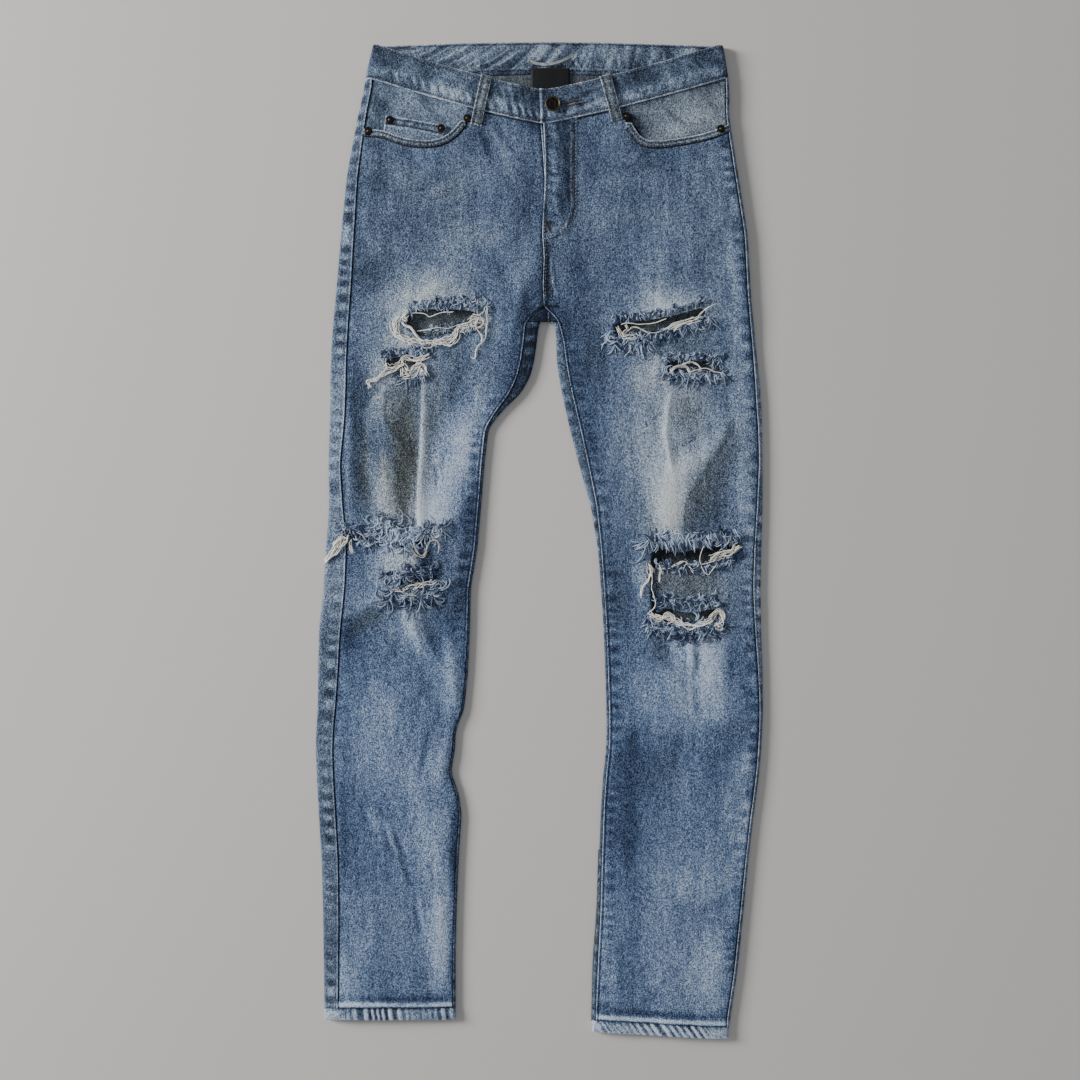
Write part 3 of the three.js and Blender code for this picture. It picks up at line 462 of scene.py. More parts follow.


# %% Folds
# Each is a line ([x, y, x, y, ...]), its reach on the left and on the right of it, its height, and the
# wear on it, with painted light on lit ridges and painted shade in hollows, and the greyness on it.
FOLDS = [
    # right thigh: a long hollow darkened with painted shade, and a sharp ridge on its right, pale from wear
    # and painted light
    ([-198, 165, -198, 110, -199, 55, -197, 16], 7, 7, -0.8, -0.16, 0.2),
    ([-208, 160, -210, 110, -209, 40], 3, 3, 0.5, 0.14, 0),
    ([-148, 174, -149, 130, -147, 90, -147, 50, -145, 8], 16, 15, -1.9, -0.13, 0.8),
    ([-163, 166, -169, 143, -163, 124, -148, 106, -141, 84], 7, 2, -1, -0.1, 0.3),
    ([-151, 98, -152, 66, -148, 20], 9, 4, -0.8, -0.12, 0.2),
    ([-128, 190, -129, 120, -131.5, 80, -133, 40, -131, 4], 8, 1.6, 3.4, 0.26, 0.1),
    ([-127, 190, -128, 120, -130.5, 80, -132, 40, -130, 4], 26, 1.6, 0, 0.2, 0.1),
    ([-112, 168, -112, 140, -118, 112], 12, 8, -0.8, -0.07, 0.2),
    ([-92, 152, -94, 110, -98, 70, -112, 28], 17, 17, 0.8, 0.17, -0.3),
    ([-78, 150, -78, 110, -84, 60], 8, 8, 0.6, 0.07, -0.3),
    ([-114, 84, -113, 70, -112.5, 56], 2, 2, -1.2, -0.34, 0.2),
    ([-104, 96, -105, 84, -107, 74], 2, 3, -0.6, -0.12, 0),
    ([-64, 70, -82, 32, -98, 10, -112, -8], 17, 3, -0.5, -0.16, -0.1),
    ([-173, 102, -171, 66, -168, 20], 10, 13, 1.6, 0.12, 0.3),
    ([-172, 92, -170, 76, -163, 52], 2, 3, 0.4, 0.07, 0.4),
    ([-190, 128, -192, 80, -188, 30], 6, 5, -0.5, -0.06, 0.5),
    ([-176, 170, -186, 155, -198, 138], 3, 3, -0.6, -0.09, 0),
    ([-172, 162, -182, 140, -180, 116], 7, 7, 0.6, 0.06, 0.1),
    ([-152, 228, -151, 214, -150, 202], 5, 5, 0.3, 0.22, 0.3),
    ([-160, 232, -168, 215, -176, 202], 2, 2, 0.3, 0.09, 0.2),
    ([-116, 205, -92, 206, -66, 198], 10, 12, 0, -0.03, 0.1),
    ([-84, 214, -94, 200, -104, 186], 2, 3, 0.6, 0.09, 0.2),
    ([-118, 188, -108, 166, -104, 150], 3, 3, -0.5, -0.06, 0.2),
    ([-74, 196, -90, 170, -100, 150], 3, 3, -0.5, -0.06, 0.2),
    ([-136, 260, -122, 272, -108, 288], 4, 8, 0.6, 0.11, 0.3),
    ([-84, 260, -82, 276, -76, 294], 2.5, 2.5, 0.8, 0.16, 0.1),
    ([-152, 268, -120, 278, -84, 272], 14, 14, 0.3, 0.06, 0.4),
    ([-60, 290, -46, 250, -36, 190], 14, 12, -0.4, -0.07, -0.1),
    ([-72, 174, -68, 158, -66, 144], 3, 3, 0.6, 0.1, 0),
    ([0, 292, -12, 264, -22, 230, -30, 190], 12, 7, -0.8, -0.17, 0),
    ([-34, 306, -20, 276, -24, 240], 5, 5, 0.7, 0.07, 0),
    # right knee
    ([-137, -2, -136, -20, -139, -42], 3, 25, 0.9, 0.24, 0.45),
    ([-132, -6, -126, -24, -116, -44], 12, 3, -0.9, -0.2, 0.1),
    ([-165, -58, -184, -66, -204, -74], 4, 4, 0.7, 0.12, 0),
    ([-168, -76, -190, -88, -214, -100], 9, 9, -1, -0.12, 0.6),
    ([-142, -68, -136, -96, -126, -126], 3, 10, 1.8, 0.09, 0),
    ([-128, -72, -121, -100, -107, -132], 9, 4, -1.7, -0.15, 0.3),
    ([-103, -78, -97, -120, -93, -160, -89, -190], 6, 9, 1.4, 0.1, -0.1),
    ([-158, -106, -160, -122, -164, -138], 6, 6, -0.5, -0.07, 0.3),
    ([-190, -20, -192, -36, -186, -52], 10, 12, 0.3, 0.06, 0),
    ([-212, -94, -206, -112, -204, -128], 7, 7, -0.5, -0.1, 0),
    ([-112, -148, -122, -162, -136, -174], 4, 4, -0.6, -0.08, 0),
    ([-106, -176, -112, -198, -118, -212], 5, 4, -0.7, -0.09, 0),
    # right shin
    ([-98, -206, -104, -240, -110, -268], 7, 7, 1.2, 0.1, -0.2),
    ([-122, -214, -126, -240, -132, -262], 4, 4, -1.2, -0.1, 0),
    ([-190, -230, -194, -260, -188, -286], 12, 12, 0.5, 0.04, 0),
    ([-215, -256, -213, -300, -212, -358], 6, 4, -0.6, -0.15, 0.1),
    ([-106, -286, -110, -330, -112, -378], 13, 14, 0.8, 0.07, -0.2),
    ([-98, -384, -110, -420, -104, -480], 8, 12, 0.7, 0.13, -0.2),
    ([-92, -292, -93, -340, -90, -388], 7, 5, -0.6, -0.26, 0),
    ([-94, -424, -95, -450, -96, -484], 5, 3, -0.4, -0.16, 0),
    ([-173, -312, -166, -332, -158, -350], 3, 3, -1, -0.16, 0),
    ([-158, -320, -148, -350, -141, -380], 4, 4, -1.3, -0.18, 0),
    ([-169, -306, -160, -328, -152, -346], 3, 3, 1, 0.1, 0),
    ([-186, -294, -178, -312, -170, -334], 4, 5, 0.9, 0.09, 0),
    ([-176, -286, -172, -298, -168, -308], 3, 3, -0.6, -0.11, 0),
    ([-138, -392, -134, -412, -130, -434], 3, 3, -0.7, -0.12, 0),
    ([-131, -392, -127, -414, -124, -434], 3, 3, 0.5, 0.08, 0),
    ([-121, -350, -118, -366, -116, -382], 3, 3, -0.5, -0.09, 0),
    ([-192, -430, -190, -452, -192, -474], 10, 10, 0.3, 0.05, -0.2),
    ([-160, -370, -168, -410, -166, -460], 18, 18, 0, -0.02, 0.4),
    ([-184, -500, -150, -505, -104, -502], 5, 5, -0.3, -0.18, -0.2),
    # left thigh: a pale worn knee-end, and a diagonal fold with painted shade in the hollow below it
    ([66, 236, 60, 200, 66, 168], 16, 14, -0.4, -0.08, 0.1),
    ([112, 208, 112, 186, 106, 160], 15, 17, 0.4, 0.12, 0.2),
    ([129, 214, 130, 192, 127, 168], 1.6, 5, 0.8, 0.14, 0.3),
    ([84, 160, 82, 136, 86, 108], 12, 12, 0.3, 0.05, 0),
    ([129, 162, 127, 132, 128, 100], 5, 7, -0.5, -0.05, 0.1),
    ([143, 168, 139, 142, 137, 120, 140, 98, 144, 72], 5, 2, 2.4, 0.26, 0.2),
    ([160, 166, 163, 142, 162, 118], 16, 12, -0.8, -0.11, 0.3),
    ([143, 100, 155, 103, 168, 112, 179, 127], 2.5, 5, -1, -0.12, 0.2),
    ([150, 96, 151, 84, 154, 76], 4, 4, -0.6, -0.08, 0.4),
    ([184, 150, 196, 136, 206, 124], 14, 10, 0.3, 0.08, 0),
    ([208, 122, 188, 98, 166, 84, 146, 72], 13, 9, 2.6, 0.13, 0.1),
    ([215, 128, 200, 100, 181, 70, 165, 42, 160, 4], 32, 4, -1.5, -0.16, 0.35),
    ([214, 138, 208, 118, 196, 96], 5, 3, -0.8, -0.08, 0),
    ([142, 88, 140, 50, 138, 6], 21, 18, 1.2, 0.18, 0.2),
    ([138, 60, 138, 36, 136, 10], 9, 9, 0.4, 0.1, 0.1), ([90, 74, 88, 62, 92, 50], 8, 8, -0.3, -0.06, 0),
    ([221, 110, 222, 60, 222, 10], 8, 8, 0.5, 0.07, -0.1),
    ([186, 232, 170, 214, 150, 208], 9, 9, 0, -0.03, 0.2),
    # left knee and shin
    ([126, -30, 162, -50, 206, -44], 22, 20, -0.4, -0.06, 0.6),
    ([122, -32, 130, -52, 126, -72], 9, 6, -0.5, -0.08, 0.3),
    ([104, -16, 108, -44, 106, -80], 9, 9, 0.4, 0.08, -0.1),
    ([131, -98, 134, -118, 142, -140], 10, 12, -1.6, -0.17, 0.9),
    ([166, -104, 166, -122, 168, -140], 4, 5, 2, 0.18, -0.1),
    ([186, -100, 186, -150, 196, -204], 16, 13, 0.8, 0.16, -0.2),
    ([174, -122, 174, -134, 171, -148], 3, 3, -0.9, -0.13, 0.2),
    ([211, -112, 213, -136, 211, -160], 6, 6, -0.8, -0.13, -0.1),
    ([142, -142, 152, -166, 158, -196], 10, 10, 0.5, 0.06, 0.5),
    ([164, -144, 166, -172, 170, -200], 3, 3, 0.7, 0.08, 0.1),
    ([108, -202, 104, -220, 106, -240], 6, 7, -0.7, -0.12, 0.2),
    ([176, -214, 204, -208, 230, -202], 9, 6, -0.6, -0.1, 0.4),
    ([154, -214, 150, -232, 148, -250], 7, 7, -0.5, -0.09, 0.3),
    ([158, -226, 158, -246, 160, -272], 5, 5, 0.5, 0.05, 0.1),
    ([229, -212, 228, -236, 224, -262], 5, 5, 0.6, 0.12, 0),
    ([100, -210, 96, -270, 92, -350], 13, 13, -0.3, -0.08, -0.1),
    ([92, -424, 90, -446, 92, -468], 8, 8, -0.3, -0.08, 0),
    ([186, -420, 190, -456, 186, -500], 14, 13, 0.4, 0.1, 0),
    ([168, -414, 170, -440, 172, -476], 4, 4, 0.4, 0.06, 0.1),
    ([210, -386, 196, -398, 176, -404], 4, 4, -0.6, -0.07, 0.1),
    ([150, -366, 158, -380, 150, -396], 12, 12, 0.3, 0.05, 0),
    ([140, -476, 130, -494, 116, -508], 4, 4, -0.5, -0.06, 0),
    ([78, -514, 140, -520, 200, -527], 4, 5, -0.3, -0.14, -0.2),
    # hips
    ([-66, 454, -58, 434, -50, 412], 3, 4, -0.9, -0.13, 0.2),
    ([-58, 456, -44, 434, -30, 408], 3, 3, 0.8, 0.1, 0.2),
    ([-50, 458, -36, 438, -20, 416], 2, 3, -0.6, -0.08, 0.1),
    ([-190, 434, -160, 424, -120, 418, -90, 426], 8, 10, -0.3, -0.07, -0.2),
    ([-156, 404, -110, 380, -60, 402], 12, 14, 0.4, 0.05, 0.5),
    ([-150, 370, -124, 386, -106, 400], 7, 7, -0.5, -0.06, 0),
    ([-104, 344, -64, 334, -30, 350], 14, 14, 0.4, 0.05, 0.4),
    ([-76, 316, -50, 300, -26, 300], 10, 10, -0.3, -0.06, -0.3),
    ([-190, 302, -160, 308, -136, 300], 8, 10, -0.3, -0.05, 0.1),
    ([-12, 336, -8, 306, -14, 282], 6, 8, 0.4, 0.08, -0.2),
    ([-194, 420, -198, 380, -204, 330], 6, 6, -0.3, -0.08, 0),
    ([62, 446, 56, 410, 60, 366], 7, 7, -0.2, -0.06, 0),
    ([108, 424, 140, 422, 180, 426, 204, 434], 10, 9, -0.3, -0.06, -0.2),
    ([60, 386, 100, 394, 150, 388], 8, 8, 0.5, 0.05, 0.1),
    ([88, 404, 120, 411, 162, 408], 5, 5, -0.4, -0.05, 0),
    ([66, 352, 110, 358, 154, 350], 10, 10, 0.4, 0.06, 0.4),
    ([44, 316, 48, 290, 62, 268], 11, 11, -0.4, -0.1, -0.2),
    ([96, 304, 118, 276, 130, 252], 12, 12, 0.5, 0.09, 0.2),
    ([134, 290, 131, 270, 132, 254], 4, 5, 0.4, 0.08, 0.2),
    ([212, 334, 216, 286, 221, 236], 6, 8, 0.4, 0.11, -0.1),
    ([172, 330, 178, 300, 186, 276], 8, 8, -0.3, -0.05, 0.1),
    # the felled seam below the fly
    ([14.5, 320, 13, 298, 15, 280, 20.5, 258], 1.3, 1.3, 0.9, 0.4, 0),
    ([10, 328, 8.5, 296, 10, 262], 4, 4, -0.5, -0.28, 0.3),
    ([20, 308, 24, 282, 28, 250], 4, 4, 0.5, 0.12, -0.1),
]


def along_line(points, x, y):
    """Signed distance to an open line of points (positive on its left), and the share of the way along."""
    points = np.array(points, float)
    run = np.diff(points, axis=0)
    length = np.hypot(*run.T)
    before = np.concatenate([[0], np.cumsum(length)])
    best = np.full(np.shape(x), np.inf)
    side, share = np.zeros(np.shape(x)), np.zeros(np.shape(x))
    for start, step, size, done in zip(points, run, length, before):
        dx, dy = x - start[0], y - start[1]
        t = np.clip((dx * step[0] + dy * step[1]) / size**2, 0, 1)
        gap = np.hypot(dx - t * step[0], dy - t * step[1])
        nearer = gap < best
        best = np.where(nearer, gap, best)
        side = np.where(nearer, np.sign(step[0] * dy - step[1] * dx), side)
        share = np.where(nearer, (done + t * size) / before[-1], share)
    return best * side, share


def stroke(points, reach, x, y):
    """1 on a line, falling off over its reach on the left and on the right, and towards its ends."""
    total = np.zeros(np.shape(x))
    lowest, highest = points.min(0) - 2 * max(reach), points.max(0) + 2 * max(reach)
    near = (x > lowest[0]) & (x < highest[0]) & (y > lowest[1]) & (y < highest[1])
    if near.any():
        away, share = along_line(smooth_path(points, 4), x[near], y[near])
        flank = np.where(away > 0, reach[0], reach[1])
        ends = np.sin(np.pi * np.clip(share, 0.01, 0.99)) ** 0.5
        total[near] = ends * np.exp(-np.abs(away / flank) ** 2.4)
    return total


def places(path):
    """The places of a flat list [x, y, x, y, ...]."""
    return np.reshape(np.array(path, float), (-1, 2))


def smooth_step(a, b, c, d, steps):
    """A smooth curve from b to c, between their neighbours a and d."""
    t = np.linspace(0, 1, steps, endpoint=False)[:, None]
    return 0.5 * (2 * b + (c - a) * t + (2 * a - 5 * b + 4 * c - d) * t**2 + (3 * b - a - 3 * c + d) * t**3)


def smooth_path(points, steps=8):
    """A smooth open curve through points."""
    points = np.array(points, float)
    padded = np.vstack([2 * points[0] - points[1], points, 2 * points[-1] - points[-2]])
    fours = zip(padded, padded[1:], padded[2:], padded[3:])
    return np.vstack([smooth_step(*four, steps) for four in fours] + [points[-1:]])


def folded(x, y, *columns):
    """The chosen columns of FOLDS (3 height, 4 fades with painted light and shade, 5 greyness), summed at
    each place.
    """
    sums = [np.zeros(np.shape(x)) for _ in columns]
    for fold in FOLDS:
        mask = stroke(places(fold[0]), fold[1:3], x, y)
        for total, column in zip(sums, columns):
            total += fold[column] * mask
    return sums


# %% Height of the upper face
SEAT_LIFT = 1.8
CROWN = 2.4


def lift(y):
    return SEAT_LIFT * smoothstep(205, 262, y)


def edge_height(y):
    return 5.6 + 1.2 * smoothstep(HIP, WAIST_SIDE, y)


def edge_gap(half, x, y):
    """Distance to the nearest folded edge. Above the legs the inner edge is the short one at the crotch."""
    out = half.inward * (x - half.outer(y))
    leg = half.inward * (half.inner(np.minimum(y, CROTCH_EDGE)) - x)
    seat = np.hypot(np.maximum(leg, 0), np.maximum(y - CROTCH_EDGE, 0))
    return np.minimum(out, np.where(y > CROTCH_EDGE, seat, leg))


def round_fold(gap, radius):
    """Height of a round fold of the cloth, `gap` inside its edge."""
    return np.sqrt(np.maximum(radius**2 - (radius - np.minimum(gap, radius)) ** 2, 0))


def upper(half, x, y):
    """Height of the front's face at a place."""
    x, y = np.broadcast_arrays(np.asarray(x, float), np.asarray(y, float))
    radius = edge_height(y) / 2
    gap = np.maximum(edge_gap(half, x, y), 0)
    inside = 1 - np.exp(-gap / 20)
    soft = (
        0.9 * lumps(x, y, (38, 80), 3) + 0.42 * lumps(x + 0.5 * y, y, (14, 40), 4)
        + 0.07 * lumps(x, y, (6, 10), 5)
    )
    folds = (folded(x, y, 3)[0] + soft * smoothstep(0, 14, gap)) * smoothstep(0, 9, gap)
    return lift(y) + radius + round_fold(gap, radius) + CROWN * inside + folds


print("upper face over the right thigh:", upper(right, np.array([-150.0]), np.array([100.0])).round(2), "mm")

# %% [markdown]
# ## Making cloth from a grid of points
# A woven panel is a grid already, so each panel is a grid of points laid between its two seams. Points
# crowd together near the seams, where the worn edge is only a millimetre wide. Values painted on the points
# say how worn and how grey the denim is there, and where painted light and shade fall. A Solidify modifier
# then gives the sheet its real thickness.

# %% Grid to mesh
DENIM = 1.2


def paint(mesh, name, values):
    """Stores one value for each point of a mesh, for its finish to read."""
    layer = mesh.attributes.new(name, "FLOAT", "POINT")
    layer.data.foreach_set("value", values.astype(np.float32))


def cloth(name, parts, finishes, thickness):
    """A cloth mesh from parts, each (grid in mm, wear, grey, faces to leave out or None, flip)."""
    points, quads, wear_and_shade_parts, greys, base = [], [], [], [], 0
    for grid, wear, grey, holes, flip in parts:
        rows, columns = grid.shape[:2]
        number = np.arange(rows * columns).reshape(rows, columns)
        corners = np.stack([number[:-1, :-1], number[1:, :-1], number[1:, 1:], number[:-1, 1:]], axis=-1)
        faces = corners[np.ones(corners.shape[:2], bool) if holes is None else ~holes].reshape(-1, 4)
        used, faces = np.unique(faces, return_inverse=True)
        faces = faces.reshape(-1, 4)[:, ::-1] if flip else faces.reshape(-1, 4)
        quads.append(faces + base)
        points.append(grid.reshape(-1, 3)[used])
        wear_and_shade_parts.append(np.broadcast_to(wear, (rows, columns)).reshape(-1)[used])
        greys.append(np.broadcast_to(grey, (rows, columns)).reshape(-1)[used])
        base += len(used)
    mesh = mesh_of(name, np.vstack(points), np.vstack(quads), finishes)
    paint(mesh, "wear", np.concatenate(wear_and_shade_parts))
    paint(mesh, "grey", np.concatenate(greys))
    piece = placed(name, mesh)
    solid = piece.modifiers.new("thickness", "SOLIDIFY")
    solid.thickness = thickness * MM
    solid.offset = -1
    solid.material_offset = len(finishes) - 1
    return piece


def mesh_of(name, points, faces, finishes):
    mesh = bpy.data.meshes.new(name)
    mesh.from_pydata((points * MM).tolist(), [], faces.tolist())
    mesh.polygons.foreach_set("use_smooth", np.ones(len(faces), bool))
    for finish in finishes:
        mesh.materials.append(finish.material)
    return mesh


def placed(name, mesh):
    piece = bpy.data.objects.new(name, mesh)
    bpy.context.scene.collection.objects.link(piece)
    return piece


def developed(grid):
    """Width, length and area of the cloth in a grid, in metres, measured along its surface."""
    across = np.linalg.norm(np.diff(grid, axis=1), axis=-1)
    down = np.linalg.norm(np.diff(grid, axis=0), axis=-1)
    a, b = grid[1:, 1:] - grid[:-1, :-1], grid[1:, :-1] - grid[:-1, 1:]
    area = np.linalg.norm(np.cross(a, b), axis=-1).sum() / 2
    return across.sum(1).max() * MM, down.sum(0).max() * MM, area * MM * MM


SHEETS = {}


def sewn(piece, nodes=(), grids=(), rests_on=()):
    """Puts a piece in the frame: its body, the nodes it stands for and the cut of its cloth."""
    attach(piece, "root")
    if nodes:
        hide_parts(*nodes)
    if grids:
        sizes = [developed(grid) for grid in grids]
        width, length = sizes[0][0], sizes[0][1]
        area = min(sum(size[2] for size in sizes), 0.99 * width * length)
        SHEETS[piece.name] = dict(
            piece=piece, width=width, length=length, area=area, on=list(rests_on), trim=[]
        )
        print(f"{piece.name}: {len(piece.data.polygons)} faces, cut {width:.3f} x {length:.3f} m")
    return piece


def tailored(
    name, slot, grid, wear, grey, flip, rests_on, finishes=(denim, reverse), thickness=DENIM, **more
):
    """A cloth of one part that lies on other cloths; `node` is what it stands for, if not its name."""
    piece = cloth(f"{name}_cloth", [(grid, wear, grey, more.get("holes"), flip)], finishes, thickness)
    return sewn(piece, [more.get("node", name)], [grid], [f"{under}_cloth" for under in rests_on])


def spread(length, middle, near=(0, 0.5, 1.0, 1.6, 2.4, 3.4, 4.8, 6.6)):
    """Places from 0 to length, `middle` apart, and crowded at both ends."""
    near = np.array(near)
    inner = np.linspace(
        near[-1], length - near[-1], max(2, int(round((length - 2 * near[-1]) / middle)) + 1)
    )
    return np.concatenate([near[:-1], inner, (length - near[:-1])[::-1]])


# %% [markdown]
# ## Wear, and painted light and shade
# Indigo is only on the outside of the yarn, so wherever the cloth is proud it turns white first. Three
# kinds of wear show: the fronts of the thighs and the knees are faded in broad soft patches, every seam
# edge has a thin white line, and the cloth beside a seam is roped, light on each pucker and dark between.
# The dark line beside each seam edge is painted shade, as are the dark hollows of folds and the shadows
# under laps and bands. Fading and some of that shade are painted from a list of soft patches, and roping
# from the place along the seam.

# %% Painted wear and shade
def waver(along, size, seed):
    """Smooth irregular value along a line, between -1 and 1, with features about `size` long."""
    return lumps(along, 0 * along, (size, 1), seed)


def roping(along, seed, pitch=9.0):
    """Light and dark blotches along a seam, between -1 and 1."""
    return np.clip(1.5 * waver(along, pitch, seed) + 0.7 * waver(along, pitch * 0.45, seed + 1), -1, 1)


def puckers(along, seed, pitch=14.0):
    """Squarish dark and light marks along a seam at a nearly even pitch, between -1 and 1."""
    depth = 0.55 + 0.45 * waver(along, pitch * 1.7, seed + 1)
    return depth * np.tanh(
        2.4 * np.sin(2 * np.pi * (along / pitch + 0.75 * waver(along, pitch * 2.5, seed)))
    )


def lip(gap, width=0.8):
    """1 on an edge, falling off over `width`."""
    return np.exp(-((np.maximum(gap, 0) / width) ** 2))


def marks(gap, *lines):
    """Tone of the lines beside an edge, pale abraded lines and dark lines of painted shade, each (distance
    from it, width, wear).
    """
    return sum(wear * lip(np.abs(gap - place) if place else gap, width) for place, width, wear in lines)


def spot(x, y, place, size):
    """1 at a place, falling off over its size across and along."""
    return np.exp(-(((x - place[0]) / size[0]) ** 2) - ((y - place[1]) / size[1]) ** 2)


def front_paint(half, x, y):
    """Painted fades, painted light and shade, and greyness of the upper face: the folds, and soft unevenness
    drawn out along the leg.
    """
    wear, grey = folded(x, y, 4, 5)
    wear *= 1.0 + 0.3 * smoothstep(0, -60, y) + 0.2 * smoothstep(290, 320, y)
    broad_wear_and_shade, broad_grey = fading_and_shade(x, y)
    wear += (
        0.05 * lumps(x, y, (34, 80), 21) + 0.05 * lumps(x + 0.2 * y, y, (15, 60), 22)
        + 0.035 * lumps(x, y, (6, 20), 23)
    )
    wear += 0.055 * lumps(x, y, (3.5, 30), 25)
    wear += broad_wear_and_shade - 0.04 * np.exp(-edge_gap(half, x, y) / 14)
    dull = 0.3 + 0.7 * smoothstep(-120, -60, y) * smoothstep(300, 250, y)
    dulled = (grey + broad_grey) * dull + 0.06 * smoothstep(230, 300, y) - 0.14 * smoothstep(-60, -140, y)
    return wear, np.clip(dulled + 0.06 * lumps(x, y, (30, 60), 24), -0.3, 0.9)


# %% [markdown]
# ## The rips
# A rip starts as a cut across the warp. Washing then eats the weft next to it, so the cut ends of the warp
# fluff out as a blue fringe above and below, while the loosened white weft still crosses the hole in
# strands. Each rip is an outline of cloth that is gone. Faces inside it are left out of the panel, and the
# points around it are drawn onto the outline so that the edge is clean under its fringe.

# %% Outlines of the rips: [x, y, x, y, ...], going round from the left end along the top
RIPS = {
    "thigh_right": (right,
        [-146, 243, -138, 251, -112, 253, -86, 252, -70, 249, -72, 236, -88, 230, -118, 223, -140, 228]),
    "thigh_right_low": (right, [-167, 198, -146, 201, -128, 199, -131, 186, -150, 183, -165, 187]),
    "knee_right": (right,
        [-212, 12, -188, 4, -172, 8, -140, 1, -122, 9, -112, 13, -124, -3, -142, -9, -172, -2, -200, -2]),
    "knee_right_low": (right, [-153, -41, -136, -38, -119, -42, -122, -52, -140, -54, -152, -50]),
    "thigh_left": (left, [84, 237, 118, 241, 150, 247, 176, 254, 180, 246, 158, 236, 120, 226, 86, 222]),
    "thigh_left_low": (left, [141, 196, 165, 197, 192, 195, 196, 184, 168, 181, 143, 183]),
    "knee_left": (left,
        [123.5, -11, 150, -13, 180, -8, 214, -2, 212, -14, 182, -24, 150, -26, 127, -27, 127, -76, 140, -74,
        165, -79, 192, -75, 194, -88, 165, -93, 138, -89, 123.5, -80]),
}


def closed_curve(points, steps):
    """A closed smooth curve through points."""
    turned_by = [np.roll(points, shift, axis=0) for shift in (1, 0, -1, -2)]
    return np.vstack([smooth_step(*four, steps) for four in zip(*turned_by)])


def nearest(outline, x, y):
    """Distance to a closed outline (below 0 inside it), and the nearest point on it."""
    best, nx, ny = np.full(x.shape, np.inf), np.array(x), np.array(y)
    inside = np.zeros(x.shape, bool)
    for (ax, ay), (bx, by) in zip(outline, np.roll(outline, -1, axis=0)):
        dx, dy = bx - ax, by - ay
        t = np.clip(((x - ax) * dx + (y - ay) * dy) / max(dx * dx + dy * dy, 1e-9), 0, 1)
        px, py = ax + t * dx, ay + t * dy
        gap = np.hypot(x - px, y - py)
        nearer = gap < best
        best, nx, ny = np.where(nearer, gap, best), np.where(nearer, px, nx), np.where(nearer, py, ny)
        crosses = ((ay > y) != (by > y)) & (x < ax + (y - ay) * dx / (dy if dy else 1e-9))
        inside ^= crosses
    return np.where(inside, -best, best), nx, ny


RIP_CURVES = {name: (half, closed_curve(places(path), 6)) for name, (half, path) in RIPS.items()}


def tear(half, grid):
    """The grid of a half with tidy edges round its rips, the faces left out, and the gap to the rips."""
    holes = np.zeros((grid.shape[0] - 1, grid.shape[1] - 1), bool)
    gap_to_rip = np.full(grid.shape[:2], 99.0)
    for owner, outline in RIP_CURVES.values():
        if owner is not half:
            continue
        low, high = outline.min(0) - 14, outline.max(0) + 14
        near = np.all((grid[..., :2] > low) & (grid[..., :2] < high), axis=-1)
        away, px, py = nearest(outline, grid[near][:, 0], grid[near][:, 1])
        gap = np.full(grid.shape[:2], 99.0)
        gap[near] = away
        middle = (gap[:-1, :-1] + gap[1:, :-1] + gap[:-1, 1:] + gap[1:, 1:]) / 4
        gone = middle < 0
        holes |= gone
        touches = np.zeros(gap.shape, bool)
        for di, dj in ((0, 0), (1, 0), (0, 1), (1, 1)):
            touches[di:gap.shape[0] - 1 + di, dj:gap.shape[1] - 1 + dj] |= gone
        snap = touches & (np.abs(gap) < 2.2)
        target = np.zeros(grid.shape[:2] + (2,))
        target[near] = np.stack([px, py], axis=-1)
        grid[snap, :2] = target[snap]
        gap_to_rip = np.minimum(gap_to_rip, np.where(snap, 0, gap))
    return grid, holes, gap_to_rip


# %% [markdown]
# ## Front panels
# Each front runs from the waist seam, or the pocket mouth, down to the hem, between the side seam and the
# centre front or inseam. At the side it lies under the back's rolled edge, so its own edge sinks into a
# groove, darkened with painted shade. At the inseam it is the upper layer, and its edge is the pale one.

# %% Front panels
ROW, COLUMN = 2.7, 2.35
FLY_EDGE = [
    (-550, 5), (256, 5), (279, 3.6), (309, 5), (336, 3), (352, 3.6), (386, 5.6), (417, 6), (454, 4.2),
    (510, 1)
]


def fly_edge(y):
    """X of the folded edge of the left front, where it laps over the right one."""
    heights, edges = zip(*FLY_EDGE)
    return np.interp(y, heights, edges)


def slanted(half, share, y):
    """Extra height towards the inner edge near the hem, where a hem isn't square to the leg."""
    return half.hem_slant * share * np.clip((-300 - y) / (-300 - half.hem_side), 0, 1)


PANEL_WIDTH = 190.0


def front_grid(half):
    foot = half.hem_side + half.hem_height
    rows = WAIST_SIDE - spread(WAIST_SIDE - foot, ROW, near=(0, 0.6, 1.2, 2.0, 3.2, 4.8))[:, None]
    start = half.outseam(rows)
    lap = 2.0 if half is right else 0.0
    inner = np.where(rows > CROTCH, fly_edge(rows) + lap, half.inseam(np.minimum(rows, CROTCH)))
    shares = spread(PANEL_WIDTH, COLUMN)[None, :] / PANEL_WIDTH
    x = start + (inner - start) * shares
    share = np.clip((rows - HIP) / (WAIST_SIDE - HIP), 0, 1)
    for _ in range(3):
        top = np.minimum(
            half.waist_seam(x), np.where(half.inward * (x - half.mouth_end) < 0, half.mouth(x), 999)
        )
        y = rows - (WAIST_SIDE - top) * share + slanted(half, shares, rows)
        start = half.outseam(y[:, :1])
        x = start + (inner - start) * shares
    return np.stack([x, y, np.zeros(x.shape)], axis=-1), shares * np.abs(inner - start)


